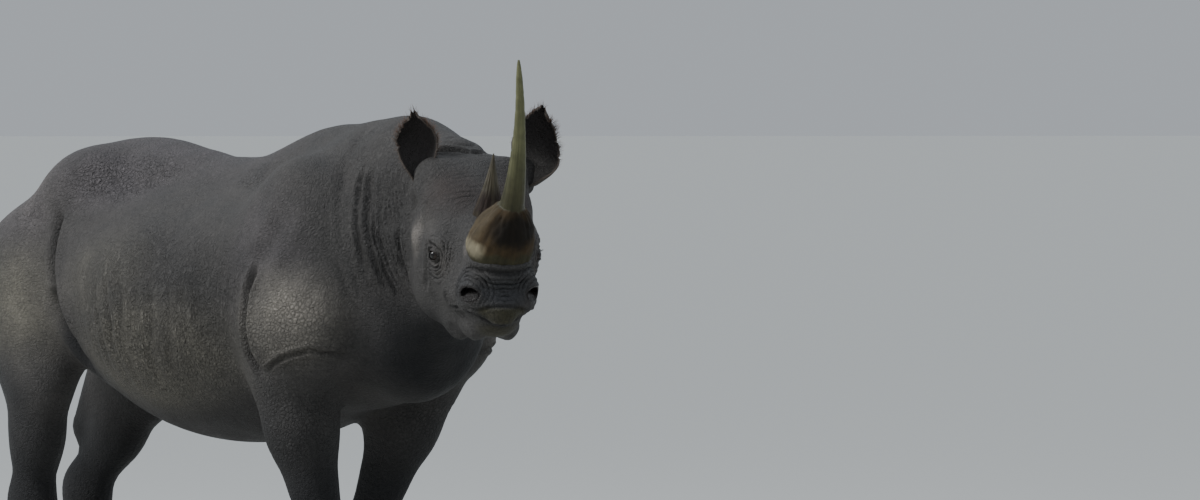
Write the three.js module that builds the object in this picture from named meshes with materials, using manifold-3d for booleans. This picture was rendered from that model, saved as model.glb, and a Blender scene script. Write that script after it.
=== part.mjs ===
// Black rhinoceros (Diceros bicornis), adult, standing: a still, life-size museum model.
// Millimetres, +Z up, the animal faces +X and its left side is +Y. All four soles are at z = 0.
//
// The flesh is one smooth body made of named masses (bones and muscles as ellipsoids and
// tapered capsules, blended together). It is meshed region by region and parted with thin
// cuts where a person would name its parts. Horns, eyes, ears, nails and tail are lofts.
import * as THREE from 'three';
import { mergeVertices } from 'three/addons/utils/BufferGeometryUtils.js';
import Module from 'manifold-3d';

const wasm = await Module();
wasm.setup();

// ---------------------------------------------------------------- driving dimensions
const GAP = 0.3; // clearance between touching pieces
const SEAT_GAP = 0.7; // clearance round what is set into the head
const SLIVER = 0.05; // edges shorter than this, left by a cut, are closed up

const WITHERS_TOP = 1606;
const BACK_LOW = 1466; // the dip of the back, between withers and rump
const RUMP_TOP = 1552;
const BELLY_LOW = 668;
const CHEST_LOW = 752;
const BELLY_HALF_WIDTH = 440;
const SHOULDER_HALF_WIDTH = 376;
const HIP_HALF_WIDTH = 350;

const POLL = new THREE.Vector3(700, -100, 1497); // top of the skull, between the ears
const HEAD_YAW = -25.5; // degrees, turned to the animal's right
const HEAD_PITCH = 20; // degrees, nose down
const EYE_FORWARD = 268; // from the poll, along the head
const EYE_OUT = 137; // eyeball centre from the head's middle plane
const EYE_DOWN = 190;
const EYE_RADIUS = 21;

// Ears: where each root is from the poll, degrees of lean outward and of the cup's turn
// outward, length, half width, how far the tip bends in, and the widest place and the
// root's width as shares.
const EARS = {
  right: {
    side: -1, root: [-12, 136, -90], lean: 9, face: 20, length: 212, half: 62, tipIn: 0, widest: 0.66, foot: 0.3,
  },
  left: {
    side: 1, root: [0, 160, -62], lean: 24, face: -4, length: 206, half: 76, tipIn: 42, widest: 0.46, foot: 0.58,
  },
};
const FRONT_HORN_SIDE = 26; // the spike of the front horn stands left of the middle
const HEAD_NET = 39; // mesh spacing of each region
const NECK_NET = 72;
const TRUNK_NET = 100;
const UPPER_LEG_NET = 70;
const LOWER_LEG_NET = 57;
const FOOT_NET = 50;

const FORE_UPPER_CUT = 850; // heights of the cuts across the legs
const FORE_LOWER_CUT = 455;
const HIND_UPPER_CUT = 860;
const HIND_LOWER_CUT = 470;
const FOOT_CUT = 150;
const LEGS_ALONE = 600; // below this height there is nothing but legs

// Leg joints as [x, out from the middle, z], from the body down to the sole.
const LEGS = {
  right_fore: {
    side: -1,
    kind: 'fore',
    joints: { top: [40, 262, 980], elbow: [22, 234, 850], wrist: [84, 184, 450], fetlock: [88, 164, 150] },
    foot: [104, 162],
  },
  left_fore: {
    side: 1,
    kind: 'fore',
    joints: { top: [10, 262, 980], elbow: [-24, 250, 850], wrist: [-166, 182, 450], fetlock: [-192, 164, 150] },
    foot: [-182, 162],
  },
  right_hind: {
    side: -1,
    kind: 'hind',
    joints: { top: [-1325, 225, 1100], knee: [-1272, 238, 850], hock: [-1390, 194, 460], fetlock: [-1374, 192, 150] },
    foot: [-1358, 194],
  },
  left_hind: {
    side: 1,
    kind: 'hind',
    joints: { top: [-1350, 225, 1100], knee: [-1392, 245, 830], hock: [-1682, 202, 475], fetlock: [-1652, 194, 150] },
    foot: [-1628, 194],
  },
};

// ---------------------------------------------------------------- finishes
const hide = (color) => new THREE.MeshStandardMaterial({ color, roughness: 0.82, metalness: 0 });
const finishes = {
  hide: () => hide(0x5b5450),
  legs: () => hide(0x4b4a4c),
  horn: () => new THREE.MeshStandardMaterial({ color: 0x5f5a4a, roughness: 0.5, metalness: 0 }),
  eye: () => new THREE.MeshStandardMaterial({ color: 0x1b1410, roughness: 0.08, metalness: 0 }),
  nail: () => new THREE.MeshStandardMaterial({ color: 0x46423c, roughness: 0.6, metalness: 0 }),
  bristle: () => new THREE.MeshStandardMaterial({ color: 0x1d1a18, roughness: 0.7, metalness: 0 }),
};

// ---------------------------------------------------------------- smooth masses
// Every mass is a signed distance: negative inside. Points are [x, y, z].

function ellipsoid(centre, radii, tilt = 0) {
  const c = Math.cos(THREE.MathUtils.degToRad(tilt));
  const s = Math.sin(THREE.MathUtils.degToRad(tilt));
  return (p) => {
    const dx = p[0] - centre[0];
    const dz = p[2] - centre[2];
    const q = [c * dx - s * dz, p[1] - centre[1], s * dx + c * dz];
    const near = Math.hypot(q[0] / radii[0], q[1] / radii[1], q[2] / radii[2]);
    const slope = Math.hypot(q[0] / radii[0] ** 2, q[1] / radii[1] ** 2, q[2] / radii[2] ** 2);
    return near < 1e-6 ? -Math.min(...radii) : (near * (near - 1)) / slope;
  };
}

// A tapered capsule from a to b; flat < 1 makes it thinner across y.
function limb(a, b, ra, rb, flat = 1) {
  const ab = [b[0] - a[0], (b[1] - a[1]) / flat, b[2] - a[2]];
  const length2 = ab[0] ** 2 + ab[1] ** 2 + ab[2] ** 2;
  return (p) => {
    const q = [p[0] - a[0], (p[1] - a[1]) / flat, p[2] - a[2]];
    const along = (q[0] * ab[0] + q[1] * ab[1] + q[2] * ab[2]) / length2;
    const t = Math.min(1, Math.max(0, along));
    const away = Math.hypot(q[0] - ab[0] * t, q[1] - ab[1] * t, q[2] - ab[2] * t);
    return (away - (ra + (rb - ra) * t)) * flat;
  };
}

function blend(a, b, k) {
  const h = Math.max(k - Math.abs(a - b), 0) / k;
  return Math.min(a, b) - (h * h * k) / 4;
}

// masses: [distance, blend radius] pairs, joined one after another
function join(masses) {
  return (p) => {
    let d = Infinity;
    for (const [distance, k] of masses) {
      d = d === Infinity ? distance(p) : blend(d, distance(p), k);
    }
    return d;
  };
}

const both = (make) => [make(-1), make(1)];

// ---------------------------------------------------------------- body masses
function trunkMasses() {
  const barrelTop = BACK_LOW - 22;
  const barrelMiddle = (barrelTop + BELLY_LOW) / 2;
  return [
    [ellipsoid([-600, 0, barrelMiddle + 12], [690, BELLY_HALF_WIDTH - 20, (barrelTop - BELLY_LOW) / 2 - 10], 4), 1],
    [ellipsoid([-500, 0, BELLY_LOW + 322], [470, BELLY_HALF_WIDTH, 318], 5), 90], // the hanging belly
    [ellipsoid([40, 0, (CHEST_LOW + 1480) / 2], [410, 300, (1480 - CHEST_LOW) / 2 - 14]), 120], // chest
    [ellipsoid([-250, 0, 1090], [330, 372, 366]), 90], // ribs behind the shoulder
    [ellipsoid([-960, 0, 1120], [300, 338, 300]), 90], // flank
    [ellipsoid([325, 0, 1010], [150, 180, 210], 12), 90], // brisket
    [ellipsoid([10, 0, WITHERS_TOP - 238], [330, 150, 225], 4), 130], // withers
    [limb([-150, 0, BACK_LOW - 66], [-880, 0, BACK_LOW - 76], 88, 84), 130], // spine
    [ellipsoid([-1165, 0, RUMP_TOP - 352], [395, HIP_HALF_WIDTH - 54, 298], -18), 110], // pelvis
    [ellipsoid([-1090, 0, RUMP_TOP - 96], [200, 92, 88], -4), 90], // croup
    [ellipsoid([-890, 0, BACK_LOW - 38], [190, 120, 80], -4), 100], // loins
    ...both((s) => [ellipsoid([-1120, s * 172, RUMP_TOP - 126], [110, 96, 84], -22), 120]), // hip bones
    ...both((s) => [ellipsoid([-1215, s * 160, RUMP_TOP - 214], [125, 104, 90], -30), 100]), // rump
    ...both((s) => [ellipsoid([45, s * 232, 1220], [205, SHOULDER_HALF_WIDTH - 240, 280], 14), 130]), // shoulder
    ...both((s) => [ellipsoid([85, s * 262, 1010], [205, SHOULDER_HALF_WIDTH - 262, 175], -20), 70]), // arm
    ...both((s) => [ellipsoid([-1355, s * 195, 1085], [230, HIP_HALF_WIDTH - 195, 250], 0), 90]), // buttock
  ];
}

function neckMasses() {
  return [
    [limb([200, -8, 1240], [545, -80, 1268], 272, 168, 0.84), 110],
    [ellipsoid([265, -14, WITHERS_TOP - 176], [240, 128, 172], 6), 90], // nuchal hump
    [limb([330, -22, 1448], [572, -66, 1434], 148, 120, 0.95), 80], // crest behind the ears
    [limb([330, -20, 1060], [600, -90, 1130], 176, 98, 0.85), 80], // throat
  ];
}

// Limb thickness down the leg, in x; `flat` thins it across.
function foreLegMasses({ side, joints, foot }) {
  const at = (j) => [j[0], side * j[1], j[2]];
  const { top, elbow, wrist, fetlock } = joints;
  const forearm = [(elbow[0] * 2 + wrist[0]) / 3 - 4, (elbow[1] * 2 + wrist[1]) / 3, 715];
  return [
    [limb(at(top), at(elbow), 150, 112, 0.82), 70],
    [limb(at(elbow), at(forearm), 112, 98, 0.94), 60],
    [limb(at(forearm), at(wrist), 98, 64, 0.96), 60],
    [ellipsoid([wrist[0] + 8, side * wrist[1], wrist[2] - 35], [70, 68, 82]), 40],
    [limb(at([wrist[0], wrist[1], wrist[2] - 60]), at(fetlock), 63, 66), 40],
    [ellipsoid([elbow[0] - 62, side * (elbow[1] - 12), elbow[2] + 46], [60, 62, 90], 24), 50], // elbow point
    ...footMasses(side, foot, fetlock),
  ];
}

function hindLegMasses({ side, joints, foot }) {
  const at = (j) => [j[0], side * j[1], j[2]];
  const { top, knee, hock, fetlock } = joints;
  const shank = knee.map((k, i) => (k + hock[i]) / 2);
  const rear = [top[0] - 60, top[1] - 10, top[2] - 110];
  const tendon = [hock[0], hock[1], hock[2] + 190];
  return [
    [limb(at(top), at(knee), 196, 118, 0.6), 80],
    [limb(at(rear), at(tendon), 160, 60, 0.6), 80],
    [limb(at(knee), at(shank), 106, 78, 0.7), 60],
    [limb(at(shank), at(hock), 78, 64, 0.82), 60],
    [ellipsoid([hock[0] - 6, side * hock[1], hock[2] - 4], [90, 60, 92], 10), 40],
    [limb(at([hock[0] + 6, hock[1], hock[2] - 50]), at(fetlock), 64, 66), 40],
    ...footMasses(side, foot, fetlock),
  ];
}

function footMasses(side, foot, fetlock) {
  const y = side * foot[1];
  return [
    [limb([fetlock[0], side * fetlock[1], fetlock[2]], [foot[0] - 12, y, 62], 68, 88), 40],
    [ellipsoid([foot[0] - 8, y, 42], [112, 104, 66]), 36],
    ...[-1, 0, 1].map((toe) => [toeMass(foot, y, toe), 26]),
  ];
}

const TOE_ANGLE = 47;

function toePlace(foot, y, toe, reach) {
  const angle = THREE.MathUtils.degToRad(TOE_ANGLE * toe);
  return [foot[0] - 8 + reach * Math.cos(angle), y + reach * Math.sin(angle) * 0.96];
}

function toeMass(foot, y, toe) {
  const [tx, ty] = toePlace(foot, y, toe, toe === 0 ? 84 : 78);
  return ellipsoid([tx, ty, 44], [46, 46, 50]);
}

// ---------------------------------------------------------------- head masses
// Head coordinates: [forward from the poll, left of the middle, up], in the pitched head.
const headTurn = new THREE.Matrix4()
  .makeTranslation(POLL.x, POLL.y, POLL.z)
  .multiply(new THREE.Matrix4().makeRotationZ(THREE.MathUtils.degToRad(HEAD_YAW)))
  .multiply(new THREE.Matrix4().makeRotationY(THREE.MathUtils.degToRad(HEAD_PITCH)));
const headBack = headTurn.clone().invert();

function headMasses() {
  return [
    [ellipsoid([60, 0, -122], [140, 118, 110], 0), 1], // braincase
    [ellipsoid([0, 0, -62], [70, 134, 62], 0), 60], // poll
    ...both((s) => [ellipsoid([-6, s * 108, -64], [60, 50, 54], 0), 50]), // ear bases
    ...both((s) => [ellipsoid([92, s * 98, -104], [92, 50, 56], 0), 60]), // temples
    [limb([110, 0, -150], [330, 0, -158], 104, 84), 60], // brow and bridge
    ...both((s) => [ellipsoid([185, s * 66, -112], [115, 68, 60], 10), 60]), // forehead
    ...both((s) => [ellipsoid([290, s * 78, -258], [120, 54, 78], 0), 60]), // cheeks
    ...both((s) => [ellipsoid([220, s * 62, -352], [132, 52, 78], 18), 50]), // jowls
    [ellipsoid([306, 0, -122], [92, 74, 54], 8), 40], // seat of the rear horn
    [ellipsoid([432, 0, -140], [108, 90, 66], 10), 40], // seat of the front horn
    ...both((s) => [ellipsoid([250, s * 97, -172], [74, 46, 52], 10), 44]), // eye sockets
    ...both((s) => [ellipsoid([150, s * 108, -225], [120, 56, 74], 6), 60]), // cheek bones
    ...both((s) => [ellipsoid([104, s * 90, -326], [126, 78, 112], 0), 60]), // jaw muscles
    ...both((s) => [ellipsoid([72, s * 118, -196], [62, 50, 56], 0), 50]), // ends of the cheek bones
    [limb([330, 0, -222], [462, 0, -226], 96, 78), 60], // muzzle
    ...both((s) => [ellipsoid([462, s * 64, -216], [62, 44, 52], 0), 34]), // nostril wings
    [ellipsoid([492, 0, -244], [62, 84, 40], -12), 34], // upper lip
    [ellipsoid([545, 0, -262], [30, 34, 30], -30), 30], // hooked tip of the lip
    ...both((s) => [ellipsoid([395, s * 62, -262], [80, 42, 38], -6), 40]), // sides of the lip
    [limb([150, 0, -340], [440, 0, -312], 88, 47), 50], // lower jaw
    [ellipsoid([456, 0, -314], [66, 60, 36], -8), 36], // chin and lower lip
    ...both((s) => [ellipsoid([345, s * 42, -345], [96, 32, 34], 8), 40]), // edges of the lower jaw
    [ellipsoid([296, 0, -112], [82, 76, 36], 14), 36], // foot of the rear horn
  ];
}

const bodyMasses = join([
  ...trunkMasses(),
  ...neckMasses(),
  ...Object.values(LEGS).flatMap((leg) => (leg.kind === 'fore' ? foreLegMasses(leg) : hindLegMasses(leg))),
]);
const headOnly = join(headMasses());
const HEAD_BLEND = 30;
const scratch = new THREE.Vector3();

function flesh(p) {
  scratch.set(p[0], p[1], p[2]).applyMatrix4(headBack);
  return blend(bodyMasses(p), headOnly([scratch.x, scratch.y, scratch.z]), HEAD_BLEND);
}

// ---------------------------------------------------------------- meshing a field
// Surface nets: one vertex in each cell the surface crosses, drawn onto the surface.
function drawOnto(field, p, step) {
  const e = step * 0.05;
  for (let pass = 0; pass < 3; pass += 1) {
    const d = field(p);
    const g = [0, 1, 2].map((i) => {
      const q = [...p];
      q[i] += e;
      return (field(q) - d) / e;
    });
    const size = Math.max(0.25, g[0] ** 2 + g[1] ** 2 + g[2] ** 2);
    const reach = Math.max(-0.4 * step, Math.min(0.4 * step, d));
    for (let i = 0; i < 3; i += 1) p[i] -= (g[i] * reach) / size;
  }
  return p;
}

function net(field, low, high, step) {
  const count = [0, 1, 2].map((i) => Math.ceil((high[i] - low[i]) / step) + 1);
  const index = (x, y, z) => (z * count[1] + y) * count[0] + x;
  const value = new Float64Array(count[0] * count[1] * count[2]);
  for (let z = 0; z < count[2]; z += 1) {
    for (let y = 0; y < count[1]; y += 1) {
      for (let x = 0; x < count[0]; x += 1) {
        const edge = [x, y, z].some((v, i) => v === 0 || v === count[i] - 1);
        const at = [low[0] + x * step, low[1] + y * step, low[2] + z * step];
        value[index(x, y, z)] = edge ? step : field(at);
      }
    }
  }
  const cell = new Map();
  const positions = [];
  const corners = [0, 1, 2, 3, 4, 5, 6, 7].map((c) => [c & 1, (c >> 1) & 1, (c >> 2) & 1]);
  for (let z = 0; z < count[2] - 1; z += 1) {
    for (let y = 0; y < count[1] - 1; y += 1) {
      for (let x = 0; x < count[0] - 1; x += 1) {
        const v = corners.map(([i, j, k]) => value[index(x + i, y + j, z + k)]);
        const crossings = [];
        for (let a = 0; a < 8; a += 1) {
          for (const bit of [1, 2, 4]) {
            const b = a | bit;
            if (b !== a && v[a] < 0 !== v[b] < 0) {
              const t = v[a] / (v[a] - v[b]);
              crossings.push(corners[a].map((c, i) => c + (corners[b][i] - c) * t));
            }
          }
        }
        if (crossings.length > 0) {
          const mean = [0, 1, 2].map((i) => crossings.reduce((sum, c) => sum + c[i], 0) / crossings.length);
          const p = [low[0] + (x + mean[0]) * step, low[1] + (y + mean[1]) * step, low[2] + (z + mean[2]) * step];
          cell.set(index(x, y, z), positions.length / 3);
          const inside = [x, y, z].every((c, i) => c > 0 && c < count[i] - 2);
          positions.push(...(inside ? drawOnto(field, p, step) : p));
        }
      }
    }
  }
  const triangles = [];
  const axes = [[1, 0, 0], [0, 1, 0], [0, 0, 1]];
  for (let z = 0; z < count[2] - 1; z += 1) {
    for (let y = 0; y < count[1] - 1; y += 1) {
      for (let x = 0; x < count[0] - 1; x += 1) {
        for (let axis = 0; axis < 3; axis += 1) {
          const [i, j, k] = axes[axis];
          const here = value[index(x, y, z)] < 0;
          const there = value[index(x + i, y + j, z + k)] < 0;
          if (here !== there) {
            const u = axes[(axis + 1) % 3];
            const w = axes[(axis + 2) % 3];
            const at = (m, n) => cell.get(index(x - m * u[0] - n * w[0], y - m * u[1] - n * w[1], z - m * u[2] - n * w[2]));
            const quad = [at(0, 0), at(1, 0), at(1, 1), at(0, 1)];
            if (!here) quad.reverse();
            triangles.push(quad[0], quad[1], quad[2], quad[0], quad[2], quad[3]);
          }
        }
      }
    }
  }
  const geometry = new THREE.BufferGeometry();
  geometry.setAttribute('position', new THREE.Float32BufferAttribute(positions, 3));
  geometry.setIndex(triangles);
  return geometry;
}

// ---------------------------------------------------------------- solids and cuts
function solid(geometry) {
  const bare = geometry.clone();
  bare.deleteAttribute('normal');
  bare.deleteAttribute('uv');
  const merged = mergeVertices(bare, 1e-3);
  return new wasm.Manifold(
    new wasm.Mesh({
      numProp: 3,
      vertProperties: new Float32Array(merged.attributes.position.array),
      triVerts: new Uint32Array(merged.index.array),
    }),
  );
}

function surface(manifold) {
  const mesh = manifold.getMesh();
  const geometry = new THREE.BufferGeometry();
  geometry.setAttribute('position', new THREE.BufferAttribute(new Float32Array(mesh.vertProperties), 3));
  geometry.setIndex(new THREE.BufferAttribute(new Uint32Array(mesh.triVerts), 1));
  return geometry;
}

// A box from low to high, in its own frame, placed by a matrix.
function block(low, high, matrix = new THREE.Matrix4()) {
  const size = high.map((h, i) => h - low[i]);
  const geometry = new THREE.BoxGeometry(size[0], size[1], size[2]);
  geometry.translate(low[0] + size[0] / 2, low[1] + size[1] / 2, low[2] + size[2] / 2);
  return solid(geometry.applyMatrix4(matrix));
}

function cornersOf(low, high, matrix = new THREE.Matrix4()) {
  const box = new THREE.Box3(new THREE.Vector3(...low), new THREE.Vector3(...high)).applyMatrix4(matrix);
  return [box.min.toArray(), box.max.toArray()];
}

// The flesh inside a region, meshed at its own spacing.
function fleshIn(region, low, high, step, cutAway = []) {
  let piece = solid(net(flesh, low, high, step)).intersect(region);
  for (const other of cutAway) piece = piece.subtract(other);
  return largest(piece).simplify(SLIVER);
}

function largest(piece) {
  const parts = piece.decompose();
  return parts.reduce((a, b) => (b.volume() > a.volume() ? b : a));
}

// ---------------------------------------------------------------- lofts
// A closed skin over rings of equal count, with a point at each end.
function loft(rings, first, last) {
  const sides = rings[0].length;
  const positions = [...rings.flat(), first, last].flat();
  const head = rings.length * sides;
  const tail = head + 1;
  const triangles = [];
  for (let r = 0; r < rings.length - 1; r += 1) {
    for (let s = 0; s < sides; s += 1) {
      const a = r * sides + s;
      const b = r * sides + ((s + 1) % sides);
      triangles.push(a, b, b + sides, a, b + sides, a + sides);
    }
  }
  for (let s = 0; s < sides; s += 1) {
    const next = (s + 1) % sides;
    triangles.push(head, next, s);
    triangles.push(tail, (rings.length - 1) * sides + s, (rings.length - 1) * sides + next);
  }
  const geometry = new THREE.BufferGeometry();
  geometry.setAttribute('position', new THREE.Float32BufferAttribute(positions, 3));
  geometry.setIndex(triangles);
  return geometry;
}

// A tapering body along a curve: radius(t) gives [half width across, half depth along].
// `grow` makes it that much larger all round, to cut its seat in a neighbour.
function taper(curve, steps, sides, radius, across, grow = 0) {
  const rings = [];
  for (let i = 0; i <= steps; i += 1) {
    const t = i / steps;
    const centre = curve.getPoint(t);
    const along = curve.getTangent(t);
    const side = across.clone().addScaledVector(along, -across.dot(along)).normalize();
    const front = new THREE.Vector3().crossVectors(side, along).normalize();
    const [wide, deep] = radius(t).map((r) => r + grow);
    if (i === 0) centre.addScaledVector(along, -grow);
    rings.push(
      Array.from({ length: sides }, (_, s) => {
        const angle = (2 * Math.PI * s) / sides;
        return centre
          .clone()
          .addScaledVector(side, wide * Math.cos(angle))
          .addScaledVector(front, deep * Math.sin(angle))
          .toArray();
      }),
    );
  }
  const start = curve.getPoint(0).addScaledVector(curve.getTangent(0), -grow);
  return outward(loft(rings, start.toArray(), curve.getPoint(1).toArray()));
}

// Turns a closed skin right side out.
function outward(geometry) {
  const p = geometry.attributes.position;
  const index = geometry.index.array;
  const [a, b, c] = [new THREE.Vector3(), new THREE.Vector3(), new THREE.Vector3()];
  let volume = 0;
  for (let i = 0; i < index.length; i += 3) {
    a.fromBufferAttribute(p, index[i]);
    b.fromBufferAttribute(p, index[i + 1]);
    c.fromBufferAttribute(p, index[i + 2]);
    volume += a.dot(b.cross(c));
  }
  if (volume < 0) {
    for (let i = 0; i < index.length; i += 3) {
      [index[i + 1], index[i + 2]] = [index[i + 2], index[i + 1]];
    }
  }
  return geometry;
}

const smooth = (t) => t * t * (3 - 2 * t);
const mix = (a, b, t) => a + (b - a) * t;
const unit = (t) => Math.min(1, Math.max(0, t)); // keeps a share between 0 and 1

// ---------------------------------------------------------------- horns
// The front horn: a broad fibrous foot over the nose, then a long slim spike.
function frontHorn(grow = 0) {
  const curve = new THREE.CatmullRomCurve3(
    [
      [424, FRONT_HORN_SIDE - 38, -158],
      [449, FRONT_HORN_SIDE - 18, -62],
      [469, FRONT_HORN_SIDE - 4, 40],
      [478, FRONT_HORN_SIDE, 170],
      [459, FRONT_HORN_SIDE, 310],
      [414, FRONT_HORN_SIDE - 4, 440],
    ].map((p) => new THREE.Vector3(...p)),
  );
  const radius = (t) => {
    const foot = 1 - unit((t - 0.02) / 0.365) ** 3;
    const left = 1 - unit((t - 0.385) / 0.615);
    const under = Math.sqrt(1 - (1 - unit((t + 0.012) / 0.112)) ** 2);
    const spike = (8 + 27 * left ** 1.5) * Math.sqrt(1 - unit((t - 0.9) / 0.105) ** 2);
    return [mix(spike, 93 * under, foot), mix(spike * 1.1, 92 * under, foot)];
  };
  return taper(curve, 18, 12, radius, new THREE.Vector3(0, 1, 0), grow).applyMatrix4(headTurn);
}

function rearHorn(grow = 0) {
  const curve = new THREE.CatmullRomCurve3(
    [
      [290, -4, -140],
      [284, -4, -62],
      [274, 0, 12],
      [252, 6, 106],
    ].map((p) => new THREE.Vector3(...p)),
  );
  const radius = (t) => {
    const left = (1 - t) ** 1.05;
    return [64 * left + 1.5, 66 * left + 1.5];
  };
  return taper(curve, 7, 10, radius, new THREE.Vector3(0, 1, 0), grow).applyMatrix4(headTurn);
}

// ---------------------------------------------------------------- eyes
function eyeball(side, grow = 0) {
  const ball = new THREE.SphereGeometry(EYE_RADIUS + grow, 10, 8);
  return ball.translate(EYE_FORWARD, side * EYE_OUT, -EYE_DOWN).applyMatrix4(headTurn);
}

// ---------------------------------------------------------------- ears
// A leaf rolled round an upright axis: nearly a tube at the root, an open cup above.
const EAR_CLEARANCE = 3;

function earFrame({ side, root, lean, face }) {
  return headTurn
    .clone()
    .multiply(new THREE.Matrix4().makeTranslation(root[0], side * root[1], root[2]))
    .multiply(new THREE.Matrix4().makeRotationX(THREE.MathUtils.degToRad(-lean * side)))
    .multiply(new THREE.Matrix4().makeRotationY(THREE.MathUtils.degToRad(-HEAD_PITCH * 0.6)))
    .multiply(new THREE.Matrix4().makeRotationZ(THREE.MathUtils.degToRad(face * side)));
}

// t runs up the ear, s from one rim (-1) round the back (0) to the other rim (1).
function earPoint(ear, t, s, inset) {
  const below = smooth(Math.min(1, t / ear.widest));
  const above = Math.max(0, (t - ear.widest) / (1.03 - ear.widest));
  const half = ear.half * mix(ear.foot, 1, below) * (1 - above ** 1.7) ** 0.72;
  const wrap = THREE.MathUtils.degToRad(mix(150, 82, smooth(Math.min(1, t * 1.6))));
  const roll = half / Math.sin(Math.min(wrap, Math.PI / 2));
  const angle = wrap * s;
  const r = roll - inset;
  const across = r * Math.sin(angle) - ear.side * ear.tipIn * t * t;
  return [roll * 0.1 - r * Math.cos(angle), across, (ear.length + 16) * t - 14 - 18 * t * s * s];
}

function earShell(ear) {
  const rows = 7;
  const columns = 8;
  const positions = [];
  for (const inner of [0, 1]) {
    for (let i = 0; i <= rows; i += 1) {
      for (let j = 0; j <= columns; j += 1) {
        const t = i / rows;
        const s = (j / columns) * 2 - 1;
        const thick = mix(11, 6, t) * (1 - 0.3 * Math.abs(s));
        positions.push(...earPoint(ear, t, s, inner * thick));
      }
    }
  }
  const sheet = (rows + 1) * (columns + 1);
  const at = (inner, i, j) => inner * sheet + i * (columns + 1) + j;
  const triangles = [];
  const quad = (a, b, c, d) => triangles.push(a, b, c, a, c, d);
  for (let i = 0; i < rows; i += 1) {
    for (let j = 0; j < columns; j += 1) {
      quad(at(0, i, j), at(0, i, j + 1), at(0, i + 1, j + 1), at(0, i + 1, j));
      quad(at(1, i, j), at(1, i + 1, j), at(1, i + 1, j + 1), at(1, i, j + 1));
    }
    quad(at(0, i, 0), at(0, i + 1, 0), at(1, i + 1, 0), at(1, i, 0));
    quad(at(0, i, columns), at(1, i, columns), at(1, i + 1, columns), at(0, i + 1, columns));
  }
  for (let j = 0; j < columns; j += 1) {
    quad(at(0, 0, j), at(1, 0, j), at(1, 0, j + 1), at(0, 0, j + 1));
    quad(at(0, rows, j), at(0, rows, j + 1), at(1, rows, j + 1), at(1, rows, j));
  }
  const geometry = new THREE.BufferGeometry();
  geometry.setAttribute('position', new THREE.Float32BufferAttribute(positions, 3));
  geometry.setIndex(triangles);
  return outward(geometry.applyMatrix4(earFrame(ear)));
}

// ---------------------------------------------------------------- nails
const NAIL_SIDES = 6;

function nail(leg, toe, grow = 0) {
  const y = leg.side * leg.foot[1];
  const [x0, y0] = toePlace(leg.foot, y, toe, toe === 0 ? 118 : 112);
  const width = toe === 0 ? 46 : 38;
  const height = toe === 0 ? 68 : 60;
  const rings = [0, 0.6, 1].map((t) => {
    const half = width * Math.sqrt(1 - (t * 0.9) ** 2.5) + grow;
    const deep = mix(26, 20, t) + grow;
    const back = -t * 6;
    return Array.from({ length: NAIL_SIDES }, (_, s) => {
      const angle = (2 * Math.PI * s) / NAIL_SIDES;
      const z = mix(3 - grow, height + grow, t);
      return [back + deep * Math.cos(angle), half * Math.sin(angle), z];
    });
  });
  const geometry = loft(rings, [0, 0, 3 - grow], [-6, 0, height + grow]);
  geometry.rotateZ(THREE.MathUtils.degToRad(TOE_ANGLE * toe));
  return outward(geometry.translate(x0, y0, 0));
}

// ---------------------------------------------------------------- tail
const TAIL_LINE = [
  [-1470, 0, 1300],
  [-1552, 0, 1288],
  [-1640, 0, 1200],
  [-1705, 2, 1060],
  [-1722, 6, 900],
  [-1716, 10, 790],
];

function tail(grow = 0) {
  const curve = new THREE.CatmullRomCurve3(TAIL_LINE.map((p) => new THREE.Vector3(...p)));
  const radius = (t) => [mix(50, 15, t ** 0.8), mix(46, 14, t ** 0.8)];
  return taper(curve, 9, 8, radius, new THREE.Vector3(0, 1, 0), grow);
}

// The brush: two flat rows of stiff hairs, front and back of the tail's end.
function tailBrush(grow = 0) {
  const curve = new THREE.CatmullRomCurve3(
    [[-1721, 6.6, 870], [-1716, 10, 780], [-1706, 12, 690], [-1698, 12, 640]].map((p) => new THREE.Vector3(...p)),
  );
  const radius = (t) => [15 + 6 * Math.sin(Math.PI * t) - 9 * t, 24 + 14 * Math.sin(Math.PI * t) - 16 * t];
  return taper(curve, 6, 8, radius, new THREE.Vector3(0, 1, 0), grow);
}

// ---------------------------------------------------------------- assembly
const rhino = new THREE.Group();

function add(name, geometry, material) {
  const mesh = new THREE.Mesh(geometry, material());
  mesh.name = name;
  rhino.add(mesh);
}

const FAR = 4000;

// Regions that part the flesh. Each stays GAP short of its neighbour.
const HEAD_LOW = [-52, -330, -462];
const HEAD_HIGH = [640, 330, 60];
const MOUTH_HEIGHT = -280; // mouth line, in head coordinates
const MOUTH_CORNER = 352;

function grown(low, high, by) {
  return [low.map((v) => v - by), high.map((v) => v + by)];
}

const jawLow = [MOUTH_CORNER, -330, HEAD_LOW[2]];
const jawHigh = [HEAD_HIGH[0], 330, MOUTH_HEIGHT];

const NECK_TILT = 24;
const neckFrame = new THREE.Matrix4()
  .makeTranslation(318, 0, 1300)
  .multiply(new THREE.Matrix4().makeRotationY(THREE.MathUtils.degToRad(-NECK_TILT)));

// A slanted column round the upper part of a leg, from its upper joint towards the lower one.
function legColumn(leg, by) {
  const fore = leg.kind === 'fore';
  const upper = fore ? leg.joints.elbow : leg.joints.knee;
  const lower = fore ? leg.joints.wrist : leg.joints.hock;
  const [behind, ahead] = fore ? [150, 160] : [265, 160];
  const slant = Math.atan2(upper[0] - lower[0], upper[2] - lower[2]);
  const frame = new THREE.Matrix4()
    .makeTranslation(upper[0], 0, upper[2])
    .multiply(new THREE.Matrix4().makeRotationY(slant));
  const y = leg.side < 0 ? [-560, -58] : [58, 560];
  return block(...grown([-behind, y[0], -FAR], [ahead, y[1], FAR], by), frame);
}

function slab(bottom, top) {
  return block([-FAR, -FAR, bottom], [FAR, FAR, top]);
}

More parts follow.
